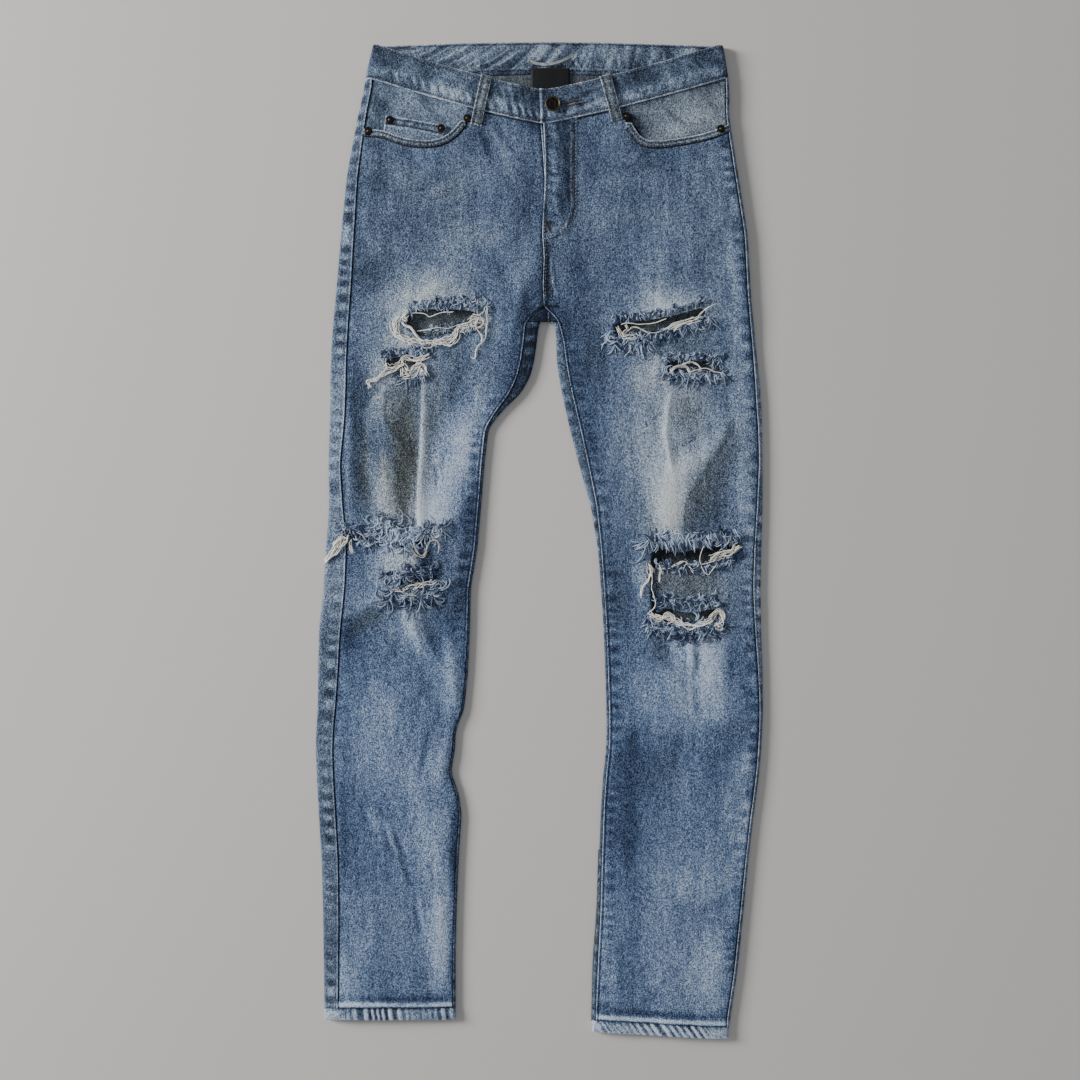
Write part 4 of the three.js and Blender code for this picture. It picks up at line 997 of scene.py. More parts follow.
def build_front(half):
    grid, from_outseam = front_grid(half)
    to_inner = from_outseam[:, -1:] - from_outseam
    grid, holes, gap = tear(half, grid)
    x, y = grid[..., 0], grid[..., 1]
    z = upper(half, x, y)
    wear, grey = front_paint(half, x, y)
    # the edge under the side seam sinks into a groove, darkened with painted shade
    groove = lip(from_outseam, 1.7)
    z -= 0.8 * groove
    wear -= 0.62 * groove
    rope = puckers(y, 31 if half is right else 41, 17.0)
    wear += (0.07 if half is right else 0.2) * rope * lip(np.abs(from_outseam - 7), 5)
    # the inseam's pale edge, painted shade in its stitch groove and the dark squares beside it; low on the
    # right leg, a strip of painted shade along the inner edge
    leg = smoothstep(CROTCH + 6, CROTCH - 20, y)
    seam = leg * (smoothstep(-150, -60, y) if half is right else 1.0)
    rope_in = puckers(y, 51 if half is right else 61, 13.5)
    beside = np.exp(-np.abs((to_inner - 8.5) / 6.0) ** 3)
    wear += (0.21 * rope_in - 0.1) * beside * seam * smoothstep(190, 130, y if half is right else y - 60)
    wear += marks(to_inner, (0, 0.8, 0.42), (2.3, 1.0, -0.4), (3.8, 0.7, 0.12)) * seam
    wear -= 0.2 * np.exp(-to_inner / 4) * (leg - seam)
    z += (0.5 * rope_in * beside + 0.5 * lip(to_inner, 1.3)) * seam
    # the centre front: the left edge laps over, pale with painted shade in its stitch line; the right one
    # goes under it, darkened by painted shade beside the lap
    seat = 1 - leg
    if half is left:
        wear += marks(to_inner, (0, 0.9, 0.42), (2.4, 1.0, -0.36)) * seat
        z += 1.0 * lip(to_inner, 2.5) * seat
    else:
        wear -= (0.4 * lip(to_inner - 2.0, 1.6) + 0.1 * np.exp(-to_inner / 8)) * seat
        z -= 1.2 * lip(to_inner, 3.0) * seat
    # torn edges lift a little and lie in the shade of their fringe
    torn = np.exp(-np.maximum(gap, 0) / 3.5)
    z += 1.3 * torn * (0.6 + 0.5 * lumps(x, y, (7, 20), 71))
    wear -= 0.26 * np.exp(-((np.maximum(gap, 0) / 5.0) ** 2)) * (0.7 + 0.6 * lumps(x, y, (5, 5), 72))
    # painted shade in a line under the waist seam and the pocket mouth; at the hem, painted shade along the
    # join, its pale ridge and a darker band above it
    down = np.maximum(grid[:1, :, 1] - y, 0)
    wear -= 0.5 * lip(down, 1.6) + 0.08 * np.exp(-down / 9)
    z -= 0.5 * lip(down, 2.0)
    up = y - grid[-1:, :, 1]
    wear += marks(up, (0, 1.1, -0.66), (3.8, 2.8, 0.56), (10, 4, -0.14))
    z += 0.7 * lip(np.abs(up - 3.0), 2.4)
    grid[..., 2] = z
    under = [f"back_{half.name}"]
    return tailored(f"front_{half.name}", "denim", grid, wear, grey, half is left, under, holes=holes)


for half in HALVES:
    build_front(half)

# %% [markdown]
# ## Back panels and yokes
# A back panel starts at the side seam on top, rolls round the outer fold, lies along the floor and comes up
# round the inner fold to the inseam. Above the legs it stops at the seat seam. Just below the crotch the
# two backs show between the fronts, turned up over the crotch edge. The yoke continues the same tube to the
# waist.

# %% The section of the tube below the fronts
def fold_gap(reach, y):
    """How far inside an edge a point of the cloth is, `reach` along it from the edge's outermost line."""
    radius = edge_height(y) / 2
    quarter = radius * np.pi / 2
    return radius * (1 - np.cos(np.minimum(reach, quarter) / radius)) + np.maximum(reach - quarter, 0)


def fold_reach(gap, y):
    radius = edge_height(y) / 2
    bend = radius * np.arccos(1 - np.minimum(gap, radius) / radius)
    return bend + np.maximum(gap - radius, 0)


def lower(half, x, y):
    """Height of the back's outer face, which lies on the floor."""
    radius = edge_height(y) / 2
    gap = np.maximum(edge_gap(half, x, y), 0)
    tucks = np.maximum(1.2 * lumps(x, y, (30, 70), 91) - 0.3, 0) * smoothstep(4, 16, gap)
    return lift(y) + radius - (radius - 0.3) * round_fold(gap, radius) / radius + tucks


BEND = np.array([0, 0.35, 0.7, 1.2, 1.8, 2.6, 3.6, 4.4])
FAR = 50.0  # stands for the distance to a seam, on the side that has none near
TO_EDGE = np.array([1, 0.985, 0.96, 0.92, 0.86, 0.78, 0.68, 0.58, 0.48, 0.38, 0.28, 0.18, 0.09])


def tube_section(half, rows):
    """X, whether it is on top, the distance to the nearest seam, and how many points come before the fold."""
    leg, outer = np.minimum(rows, CROTCH_EDGE), half.outer(rows)
    inner = np.where(rows > CROTCH_EDGE, CENTRE, half.inner(leg))
    side_wrap = np.abs(half.outseam(rows) - outer)
    inner_wrap = np.maximum(half.inward * (half.inner(leg) - half.inseam(leg)), 1.2)
    inner_wrap = np.where(rows > CROTCH_EDGE, 0.5, inner_wrap)
    from_side = fold_gap(fold_reach(side_wrap, rows) * TO_EDGE, rows)
    to_inner = fold_gap(fold_reach(inner_wrap, rows) * TO_EDGE[::-1], rows)
    bend = fold_gap(BEND, rows)
    width = np.abs(inner - outer)
    floor = bend[:, -1:] + (width - 2 * bend[:, -1:]) * np.linspace(0, 1, 32)[None, 1:-1]
    below = np.hstack([bend, floor, width - bend[:, ::-1]])
    x = outer + half.inward * np.hstack([from_side, below, width - to_inner])
    to_seam = np.hstack([side_wrap - from_side, np.full(below.shape, FAR), inner_wrap - to_inner])
    return x, to_seam[:1] < FAR, to_seam, TO_EDGE.size


def back_part(half, rows, sink, seed):
    """(grid, wear, grey) of a stretch of the back. sink(share, row) lowers a row towards the seat seam."""
    rows = rows[:, None]
    x, on_top, to_seam, first = tube_section(half, rows)
    share = np.clip(half.inward * (x - half.outer(rows)) / PANEL_WIDTH, 0, 1)
    y = rows - np.where(on_top, 0, sink(share, rows)) + slanted(half, share, rows)
    z = np.where(on_top, upper(half, x, y), lower(half, x, y))
    side = np.arange(x.shape[1])[None, :] < first
    edge = lip(to_seam, 0.9)
    rope = puckers(y + 3, seed, 16.0)
    foot = lip(np.abs(y - half.hem_side - half.hem_height - 3.2), 2.4)
    z += np.where(side, 0.7, -0.5) * lip(to_seam, 1.4) * on_top
    wear = 0.06 * lumps(x, y, (26, 50), 93) + 0.05 * lumps(x, y, (9, 22), 94)
    if half is right:
        shade, base, pale_from = 0.34 * smoothstep(110, 190, y), -0.07, (-100, -60)
    else:
        shade, base, pale_from = 0.12, 0.04, (40, 90)
    paler = 0.14 * smoothstep(*pale_from, y) * smoothstep(210, 170, y)
    # on top: the rolled edge over the side seam is pale and roped, and along the inner fold the cloth is
    # darkened with painted shade, most at its edge under the front's inseam
    seam = (0.34 - paler) * rope * lip(np.abs(to_seam - 7.5), 5.5) + np.where(side, paler, -shade)
    seam = seam + base + 0.3 * foot + np.where(side, 0.26, -0.4) * edge + marks(to_seam, (2.4, 0.9, -0.1))
    # the seat is faded below, and the cloth behind the left knee's rip is in its shade
    below = 0.2 * spot(x, y, (-120 * half.inward, 330), (60, 60)) - 0.24 * spot(x, y, (160, -16), (60, 16))
    wear = wear + np.where(on_top, seam, below)
    return np.stack([x, y, z], axis=-1), wear, np.where(on_top, 0.2, 0.1), rows


def crotch_part(half):
    """The back under the crotch: from below the front's edge, round the crotch edge, a little way on."""
    radius = edge_height(CROTCH_EDGE) / 2
    reach = np.concatenate([np.linspace(20, 5, 10), np.linspace(4.4, -4.4, 9), [-7, -10]])
    gap = fold_gap(np.abs(reach), CROTCH_EDGE)
    seam = 9.3
    far = -24.0 if half is right else 26.0
    x = np.linspace(far, seam, 16)[None, :]
    y = CROTCH_EDGE + gap[:, None] + 0 * x
    under = (reach < 0)[:, None]
    top = upper(half, x, y) - 0.5 - 1.6 * smoothstep(249, 255, y)
    bottom = lift(y) + radius - (radius - 0.3) * round_fold(gap, radius)[:, None] / radius
    z = np.where(under, bottom, top)
    to_seam = np.abs(x - seam)
    # the cloth under the crotch is darkened with painted shade; its seam has a pale edge and painted shade in
    # its stitch line
    wear = -0.5 + marks(to_seam, (0, 1.0, 0.55), (2, 1, -0.2)) + 0.1 * roping(x, 95, 5.0)
    return np.stack([x + 0 * y, y, z], axis=-1), wear, 0.1, None, half is left


SEAT_DROP, BAND_RISE = 26, 6.5  # how far the yoke's foot and its head leave a level line at the centre


def build_back(half):
    foot = half.hem_side + half.hem_height
    rows = YOKE_SIDE - spread(YOKE_SIDE - foot, 3.7, near=(0, 0.8, 1.8, 3.2))
    sink = lambda share, row: SEAT_DROP * share * np.clip((row - HIP) / (YOKE_SIDE - HIP), 0, 1)
    grid, wear, grey, rows = back_part(half, rows, sink, 81 if half is right else 83)
    holes = np.zeros((grid.shape[0] - 1, grid.shape[1] - 1), bool)
    holes[:, -len(TO_EDGE):] = (rows[:-1] > CROTCH_EDGE)
    parts = [(grid, wear, grey, holes, half is right), crotch_part(half)]
    piece = cloth(f"back_{half.name}_cloth", parts, (denim, reverse), DENIM)
    return sewn(piece, [f"back_{half.name}"], [grid])


def build_yoke(half):
    rows = WAIST_SIDE - spread(WAIST_SIDE - YOKE_SIDE, 3.7, near=(0, 0.8, 1.8, 3.2))

    def sink(share, row):
        above = np.clip((row - YOKE_SIDE) / (WAIST_SIDE - YOKE_SIDE), 0, 1)
        return share * (SEAT_DROP * (1 - above) - BAND_RISE * above)

    grid, wear, grey, rows = back_part(half, rows, sink, 85)
    top = lip(np.abs(rows - YOKE_SIDE), 1.0)
    holes = np.zeros((grid.shape[0] - 1, grid.shape[1] - 1), bool)
    holes[:, -len(TO_EDGE):] = True
    name, parts = f"yoke_{half.name}", [(grid, wear + 0.4 * top, grey, holes, half is right)]
    piece = cloth(f"{name}_cloth", parts, (denim, reverse), DENIM)
    return sewn(piece, [name], [grid[:, :-len(TO_EDGE)]], [f"back_{half.name}_cloth"])


for half in HALVES:
    build_back(half)
    build_yoke(half)

# %% [markdown]
# ## Hems
# The leg end is folded up twice and sewn through, so it is three layers thick and shrinks more than the
# leg. That twists it into slanting ropes, pale on each pucker and dark blue between.

# %% Hems
def build_hem(half):
    top = half.hem_height
    steps = np.concatenate([[0, 0.7, 1.6, 2.8], np.linspace(4.2, top - 2.2, 5), [top - 1.0, top]])[:, None]
    level = half.hem_side + steps
    width = np.abs(half.inner(level) - half.outer(level))
    around = np.linspace(0, 1, 130)[None, :]
    gap = width * (0.25 * (1 - np.cos(np.pi * around)) + 0.5 * around)
    parts = []
    for above in (True, False):
        x = half.outer(level) + half.inward * gap
        y = level + half.hem_slant * gap / width
        lean = 0.15 if half is right else 0.75
        rope = puckers(x + lean * steps, 101 if half is right else 103, 7.4)
        middle = smoothstep(0.06, 0.2, gap / width) * smoothstep(1.0, 0.9, gap / width)
        bulge = 0.9 * np.sqrt(np.sin(np.pi * np.clip(steps / top, 0, 1)))
        rise = (bulge + 0.6 * rope * middle) * smoothstep(0, 2.5, np.minimum(gap, width - gap))
        z = upper(half, x, y) + 0.3 + rise if above else lower(half, x, y)
        wear = (
            (0.42 if half is left else 0.27) - 0.14 * middle + (0.08 + 0.46 * middle) * rope
            + 0.25 * lip(steps, 1.2)
        )
        # the hem's top edge is darkened with painted shade where it steps down to the leg
        wear = wear + 0.1 * lumps(x, y, (9, 6), 105) - 0.5 * lip(top - steps, 1.2)
        parts.append((np.stack([x, y, z], axis=-1), wear, 0.05, None, (half is right) == above))
    piece = cloth(f"hem_{half.name}_cloth", parts, (denim, reverse), 1.9)
    ring = np.concatenate([parts[0][0], parts[1][0][:, ::-1]], axis=1)
    return sewn(piece, [f"hem_{half.name}"], [ring], [f"back_{half.name}_cloth"])


for half in HALVES:
    build_hem(half)

# %% [markdown]
# ## Pocket facings, coin pocket and pocket mouths
# Behind each slanted mouth a facing of the same denim fills the corner up to the waist seam. The right one
# carries the coin pocket. The mouth's own edge is turned in and held by two rows of stitches 6 mm apart.

# %% Facings
def build_facing(half):
    outside = half.outseam(476)
    columns = np.linspace(0, 1, 60)[None, :]
    x_mid = outside + (half.mouth_end + half.inward * 4 - outside) * columns
    rows = np.linspace(0, 1, 34)[:, None]
    foot = half.mouth(x_mid) - 9
    head = half.waist_seam(x_mid) + 1.0
    y = foot + (head - foot) * rows
    x = half.outseam(y) + (half.mouth_end + half.inward * 4 - half.outseam(y)) * columns
    off = np.abs(x - half.outseam(y))
    under = smoothstep(2.0, -1.5, y - half.mouth(x))
    z = upper(half, x, y) - 0.9 - 1.4 * under - 0.5 * lip(off, 1.2)
    folds = 0.6 * lumps(x + 0.8 * y, y, (10, 28), 111) + 0.3 * lumps(x + 1.2 * y, y, (5, 20), 112)
    z += folds * smoothstep(2, 8, off)
    away = y - half.mouth(x)
    # painted shade along the groove at the side seam, under the pocket mouth's edge and under the waist seam
    wear = 0.03 + 0.16 * folds + 0.12 * lumps(x, y, (24, 16), 113) - 0.5 * lip(off, 1.0)
    wear = wear - 0.14 * np.exp(-np.maximum(away, 0) / 3.5) - 0.14 * np.exp(-np.maximum(head - y, 0) / 5)
    if half is left:
        # a deep painted shadow in the corner under the end of the mouth
        wear = wear + 0.14 - 0.62 * spot(x, y, (half.mouth_end + 7, 451), (19, 15))
        wear = wear - 0.12 * lip(np.abs(y - 462 - 0.12 * (x - 100)), 3) * smoothstep(150, 110, x)
    else:
        wear = (
            wear + 0.08 - 0.24 * spot(x, y, (-176, 466), (12, 18))
            + 0.08 * spot(x, y, (-120, 474), (30, 10))
        )
    name, grey, finishes = f"pocket_facing_{half.name}", 0.45 if half is left else 0.2, (faded, reverse)
    grid = np.stack([x, y, z], -1)
    return tailored(name, "denim_faded", grid, wear, grey, half is right, [f"back_{half.name}"], finishes)


for half in HALVES:
    build_facing(half)


# %% Coin pocket
def build_coin_pocket():
    u = spread(1.0, 0.04, near=(0, 0.007, 0.015, 0.028, 0.05))[None, :]
    v = np.concatenate([[0, 0.5, 1.0, 1.8, 3, 4.5, 6, 7.2, 8.4], np.linspace(10, 26, 8)])[:, None]
    head_left, head_right = np.array([-168.0, 464.0]), np.array([-102.0, 452.5])
    top = head_left + (head_right - head_left) * u[..., None]
    lean = np.stack([-2.0 - 3.0 * u, 0 * u - 14.0], axis=-1)
    place = top + lean * (v / 14)[..., None]
    x, y = place[..., 0], place[..., 1] + 0.8 * np.sin(np.pi * u)
    sides = np.minimum(u, 1 - u) * 67
    under = smoothstep(1.5, -1.5, y - right.mouth(x))
    z = upper(right, x, y) - 0.1 - 1.5 * under + 0.35 * lip(v, 1.4)
    # pale edges, with painted shade in the stitch lines beside them
    wear = 0.06 + marks(sides, (0, 0.9, 0.46), (2.4, 0.9, -0.25)) + 0.12 * puckers(x, 121, 3.6) * (v < 9)
    wear = wear + marks(v, (0, 0.9, 0.48), (2.4, 0.8, -0.38), (8.0, 0.8, -0.42), (9.6, 0.7, 0.3))
    grid = np.stack([x, y, z], -1)
    return tailored(
        "coin_pocket", "denim_faded", grid, wear, 0.22, False, ["pocket_facing_right"], thickness=1.1
    )


build_coin_pocket()


# %% Mouths
def walked(path, step):
    """A path's points resampled every `step`, with the unit direction at each."""
    path = np.array(path, float)
    size = np.hypot(*np.diff(path, axis=0).T)
    far = np.concatenate([[0], np.cumsum(size)])
    stops = np.linspace(0, far[-1], max(2, int(round(far[-1] / step)) + 1))
    points = np.stack([np.interp(stops, far, path[:, k]) for k in (0, 1)], axis=-1)
    heading = np.gradient(points, axis=0)
    return points, heading / np.hypot(*heading.T)[:, None]


def right_of(heading):
    """The unit direction to the right of each heading."""
    return np.stack([heading[:, 1], -heading[:, 0]], -1)


def ribbon(points, heading, across):
    """Places of a flat strip along a path: a row at each point, with its columns `across` to the right."""
    return points[:, None, :] + right_of(heading)[:, None, :] * across[None, :, None]


def mouth_path(half):
    x = np.linspace(half.outseam(450), half.mouth_end, 80)
    return walked(np.stack([x, half.mouth(x)], -1), 1.6)


def build_mouth(half):
    points, heading = mouth_path(half)
    across = np.array([-0.2, -0.8, -0.6, 0, 0.6, 1.3, 2.2, 3.2, 4.4, 5.6, 6.6, 7.4, 8.2])
    turned_in = np.array([1.5, 0.7, 0.1] + [0] * 10)
    place = ribbon(points, heading * half.inward, across)
    x, y = place[..., 0], place[..., 1]
    rise = 0.9 * smoothstep(8.4, 6.8, across)
    z = upper(half, x, y) + 0.05 + rise - turned_in - 0.25 * lip(np.abs(across - 1.8), 0.6)
    along = np.arange(len(points))[:, None] * 1.6
    # painted shade along both stitch rows and along the band's inner edge; the turned edge is pale
    rows = marks(across, (1.9, 0.8, -0.34), (4.2, 1.4, 0.2), (6.4, 0.9, -0.4), (8.2, 1.0, -0.5))
    wear = -0.05 + 0.45 * lip(across, 0.8) + rows
    wear = wear[None, :] + 0.14 * puckers(along + 0 * x, 131, 3.7) + 0.1 * roping(along + 0 * x, 133, 9.0)
    grid = np.stack([x, y, z], -1)
    name, under = f"pocket_band_{half.name}", [f"front_{half.name}"]
    return tailored(name, "denim_seam", grid, wear, 0.4, half is right, under, thickness=1.0)


for half in HALVES:
    build_mouth(half)

# %% [markdown]
# ## Fly
# The left front laps over the right one. Behind it the zip's facing is caught by two rows of stitches that
# run down beside the zip and turn in to the edge in a J. The facing stiffens the cloth, so inside the J it
# lies a little proud and fades in its own pattern, pale at the fold, with painted shade along the stitches.

# %% Fly
FLY_RIGHT, FLY_HEAD, FLY_TURN, FLY_FOOT = 40.0, 456.0, 366.0, 330.0


def fly_outline(inset=0.0):
    """The J from the waist seam down, round and in to the edge, `inset` inside the outer row."""
    side = FLY_RIGHT - inset
    turn = np.linspace(0, 1, 20)
    drop = FLY_TURN - (FLY_FOOT + inset)
    edge = fly_edge(FLY_FOOT) + 1.0
    bend = np.stack(
        [
            edge + (side - edge) * np.cos(turn * np.pi / 2) ** 0.8,
            FLY_TURN - drop * np.sin(turn * np.pi / 2) ** 1.15
        ],
        -1
    )
    straight = np.stack([np.full(2, side), [float(left.waist_seam(side)) + 1, FLY_TURN + 1]], -1)
    return walked(np.vstack([straight, bend]), 2.0)


def build_fly():
    v = np.linspace(0, 1, 56)[:, None]
    u = spread(1.0, 0.06, near=(0, 0.02, 0.04, 0.065, 0.1, 0.14))[None, :]
    foot = FLY_FOOT - 1.0
    y0 = FLY_HEAD + (foot - FLY_HEAD) * v
    reach = np.where(
        y0 > FLY_TURN, 1.0,
        np.cos(np.arcsin(np.clip((FLY_TURN - y0) / (FLY_TURN - foot), 0, 1) ** (1 / 1.15))) ** 0.8
    )
    start = fly_edge(y0)
    end = start + np.maximum(FLY_RIGHT + 1.0 - start, 1.0) * np.maximum(reach, 0.05)
    x = start + (end - start) * u
    y = y0 + (left.waist_seam(x) - FLY_HEAD + 1.5) * smoothstep(FLY_HEAD - 20, FLY_HEAD, y0)
    from_fold, inside = x - start, end - x
    z = (
        upper(left, x, y) + 0.3 * lumps(x, y, (6, 14), 141) * smoothstep(0, 4, inside)
        + 0.5 * lip(from_fold, 2.0)
    )
    z = z - 0.3 + 0.85 * smoothstep(0.0, 2.5, inside) + 0.55 * smoothstep(0.0, 1.0, inside)
    wear = -0.12 + 0.19 * lumps(x, y, (4, 9), 143) - 0.1 * smoothstep(440, 452, y)
    wear = wear + 0.26 * puckers(y + 0.4 * x, 144, 11.0) * lip(np.abs(from_fold - 9), 6)
    wear = wear - 0.22 * np.exp(-np.abs((from_fold - 24) / 9) ** 3) * smoothstep(345, 372, y)
    # pale edges at the fold and along the J, with painted shade in the stitch lines beside them
    wear = wear + marks(from_fold, (0, 1.0, 0.55), (2.6, 0.9, -0.36), (9, 5, 0.11)) + marks(
        inside, (0, 1.4, 0.66), (2.0, 0.8, -0.3), (3.6, 1.4, -0.1), (6.4, 1.0, 0.34), (8.2, 0.9, -0.2)
    )
    grid = np.stack([x, y, z], -1)
    return tailored(
        "fly", "denim", grid, wear, 0.1, False, ["front_left"], thickness=1.0, node="fly_placket"
    )


build_fly()

# %% [markdown]
# ## Waistband
# The band is one long strip, doubled, with its fold at the top. It goes from the right end under the fly,
# round the back, where its inner face shows above the dip of the front, and on to the left end, which laps
# over. The stitched lower edge ropes in big blotches.

# %% Waistband
BAND_HEIGHT = 37.0
BAND_STEPS = np.concatenate(
    [[0, 0.6, 1.3, 2.2, 3.4], np.linspace(5.2, 33.2, 14), [34.6, 35.6, 36.4, BAND_HEIGHT]]
)


def crease_wear_and_shade(across):
    """Pale and dark stripes 9 mm apart, between -1 and 1: abraded, lit ridges and painted shade between."""
    return np.tanh(3 * np.sin(2 * np.pi * across / 9))


def band_front(half, centre):
    """From the centre to the side: (grid, wear, grey)."""
    v = BAND_STEPS[:, None] / BAND_HEIGHT
    u = spread(1.0, 0.014, near=(0, 0.003, 0.006, 0.01, 0.016))[None, :]
    side = half.outer(WAIST_SIDE + BAND_HEIGHT * v)
    x = centre(v) + (side - centre(v)) * u
    foot, head = front_foot(x), front_top(x)
    y = foot + (head - foot) * v
    to_side = np.abs(side - x)
    height = BAND_STEPS[:, None] + 0 * x
    z = (
        upper(half, x, y) + 0.9 * smoothstep(0, 3, to_side)
        + marks(height, (0, 1.4, 0.35), (BAND_HEIGHT, 1.6, 0.3))
    )
    rope = puckers(x + 0.35 * half.inward * height, 151 if half is right else 153, 10.0)
    slope = x - 0.9 * half.inward * y
    rumple = lumps(slope, y, (6, 24), 155) + 0.5 * lumps(slope, y, (3.2, 14), 156)
    z += (0.5 * rope * np.exp(-height / 10) + 0.6 * rumple * np.sin(np.pi * v)) * smoothstep(0, 6, to_side)
    loose = np.exp(-((to_side / 46) ** 2))
    wear = (
        0.04 + 0.11 * rumple + 0.08 * lumps(x, y, (16, 9), 157) - 0.05 * loose
        - 0.1 * np.exp(-to_side / 14)
    )
    wear = wear + 0.34 * rope * np.exp(-np.abs((height - 10) / 5.5) ** 3) * (1 - 0.8 * loose)
    wear = wear - 0.13 * np.maximum(lumps(x + 0.6 * half.inward * y, y, (8, 8), 158), 0)
    # pale edges at the foot and at the fold on top, with painted shade in the stitch lines beside them
    wear = wear + marks(
        height, (0, 0.9, 0.42), (2.6, 1.0, -0.36), (10, 7, 0.08), (34, 1.2, -0.12), (BAND_HEIGHT, 0.9, 0.32)
    )
    # sharp creases beside the button, and others where the right end goes under the left one: their pale
    # ridges are wear with painted light, and the dark between is painted shade
    creased = spot(x, height, (46, 14), (20, 12))
    wear = wear + creased * (0.16 * crease_wear_and_shade(y - 0.42 * x) - 0.1) - 0.14 * smoothstep(13, 22, height)
    wear = wear + 0.12 * lip(np.abs(x + 28), 22) * crease_wear_and_shade(x + 0.25 * height) + fading_and_shade(x, y)[0]
    return np.stack([x, y, z], -1), wear, np.full(x.shape, 0.2)


def band_back():
    """From the right side to the left one along the floor, its inner face up."""
    v = BAND_STEPS[:, None] / BAND_HEIGHT
    u = spread(1.0, 0.008, near=(0, 0.0008, 0.002, 0.0045, 0.008, 0.012))[None, :]
    rise = WAIST_SIDE + BAND_HEIGHT * v
    start, end = right.outer(rise), left.outer(rise)
    x = start + (end - start) * u
    foot, head = back_foot(x), back_top(x)
    y = foot + (head - foot) * v
    radius = edge_height(y) / 2
    gap = np.minimum(np.abs(x - start), np.abs(end - x))
    height = BAND_STEPS[:, None] + 0 * x
    z = SEAT_LIFT + radius - (radius + SEAT_LIFT - 0.4) * round_fold(gap, radius) / radius
    slope = x - 1.1 * y + 0.01 * x * (y - 520)
    rumple = lumps(slope, y, (9, 60), 161) + 0.6 * lumps(slope, y, (4, 34), 163)
    z += (1.5 + 1.1 * rumple) * np.sin(np.pi * np.clip(v, 0, 1)) ** 0.7 * smoothstep(3, 14, gap)
    ridge = np.maximum(np.sin(2 * np.pi * (slope / 19 + 0.4 * lumps(slope, y, (30, 30), 167))), 0) ** 6
    rope = puckers(x + 0.4 * height, 165, 9.0)
    wear = (
        -0.03 + 0.16 * rumple + 0.42 * ridge * np.sin(np.pi * np.clip(v, 0, 1))
        + 0.12 * lumps(x, y, (20, 14), 168)
    )
    # painted shade along the foot and the stitch lines of the band's inner face; its folded head is pale
    wear = (
        wear + (0.26 * rope - 0.12) * lip(np.abs(height - 13), 4.5)
        + marks(
            height, (0, 3, -0.4), (5.6, 0.8, -0.4), (7.0, 0.7, 0.22), (8.4, 1.0, -0.4), (34.6, 0.9, -0.3),
            (BAND_HEIGHT, 0.9, 0.34)
        )
    )
    return np.stack([x, y, z], -1), wear, np.full(x.shape, 0.3)


def build_waistband():
    under_lap = lambda v: 24.0 - 0 * v
    lap = lambda v: fly_edge(470 + BAND_HEIGHT * v) - 1.6 + 0 * v
    right_grid, right_wear_and_shade, right_grey = band_front(right, under_lap)
    right_grid[..., 2] -= 1.4 * smoothstep(-6, 4, right_grid[..., 0])
    left_grid, left_wear_and_shade, left_grey = band_front(left, lap)
    from_edge = left_grid[..., 0] - lap(0)
    left_grid[..., 2] += 0.9 * np.exp(-np.maximum(from_edge, 0) / 22)
    # the left end's lap: a pale edge, with painted shade in the stitch line beside it
    left_wear_and_shade += 0.5 * lip(from_edge, 1.1) - 0.3 * lip(np.abs(from_edge - 2.8), 0.9)
    back_grid, back_wear_and_shade, back_grey = band_back()
    parts = [
        (right_grid, right_wear_and_shade, right_grey, None, False), (left_grid, left_wear_and_shade, left_grey, None, True),
        (back_grid, back_wear_and_shade, back_grey, None, False),
    ]
    piece = cloth("waistband_cloth", parts, (denim, denim), 1.9)
    length = sum(developed(part[0])[0] for part in parts)
    whole = np.zeros((2, 2, 3))
    whole[0, 1, 0] = whole[1, 1, 0] = length / MM
    whole[1, :, 1] = BAND_HEIGHT
    return sewn(piece, ["waistband"], [whole], ["back_right_cloth", "back_left_cloth"])


build_waistband()

# %% [markdown]
# ## Belt loops, back pockets, label and hanger loop
# A belt loop is a strip folded in three and sewn with two rows, worn pale along both edges. The back
# pockets and three of the loops are on the side that lies on the floor. Inside the back of the band a plain
# black label is sewn at its two ends, with a loop of cotton tape above it.

# %% Belt loops
LOOP = 12.0


def strap_grid(foot, head, width, height):
    """A strip from foot to head. height(x, y, along) gives Z."""
    points, heading = walked([foot, head], 1.2)
    across = np.array([-1, -0.9, -0.74, -0.6, -0.45, -0.2, 0, 0.2, 0.45, 0.6, 0.74, 0.9, 1]) * width / 2
    place = ribbon(points, heading, across)
    along = np.arange(len(points))[:, None] * 1.2 + 0 * place[..., 0]
    x, y = place[..., 0], place[..., 1]
    return np.stack([x, y, height(x, y, along)], -1), along, np.abs(across)[None, :] + 0 * x


def loop_wear_and_shade(along, off, width, seed):
    wear = -0.08 + 0.1 * roping(along, seed, 4.0) + 0.16 * lip(off, 1.2)
    # pale edges and ends, with painted shade in the stitch lines beside them
    wear = wear + marks(width / 2 - off, (0, 0.8, 0.44), (2.0, 0.8, -0.3))
    return wear + marks(along, (0, 1.1, 0.4), (2.4, 0.8, -0.3), (along.max(), 1.0, 0.3))


def loop_cloth(name, grid, wear, flip):
    return tailored(name, "denim_seam", grid, wear, 0.6, flip, ["waistband"], (denim, denim), 1.3)


def build_front_loop(half, foot, head):
    def height(x, y, along):
        last = along.max()
        proud = 2.5 + 1.1 * np.sin(np.pi * np.clip(along / last, 0, 1)) - 1.6 * lip(along, 1.5)
        return upper(half, x, y) + proud - 2.6 * smoothstep(last - 2.4, last, along)

    grid, along, off = strap_grid(foot, head, LOOP, height)
    wear = loop_wear_and_shade(along, off, LOOP, 171)
    return loop_cloth(f"belt_loop_front_{half.name}", grid, wear, True)


LOOP_ENDS = {"right": ((-69.5, 453.5), (-57.5, 508.5)), "left": ((84.5, 458.5), (71.0, 508.5))}
for half in HALVES:
    build_front_loop(half, *LOOP_ENDS[half.name])


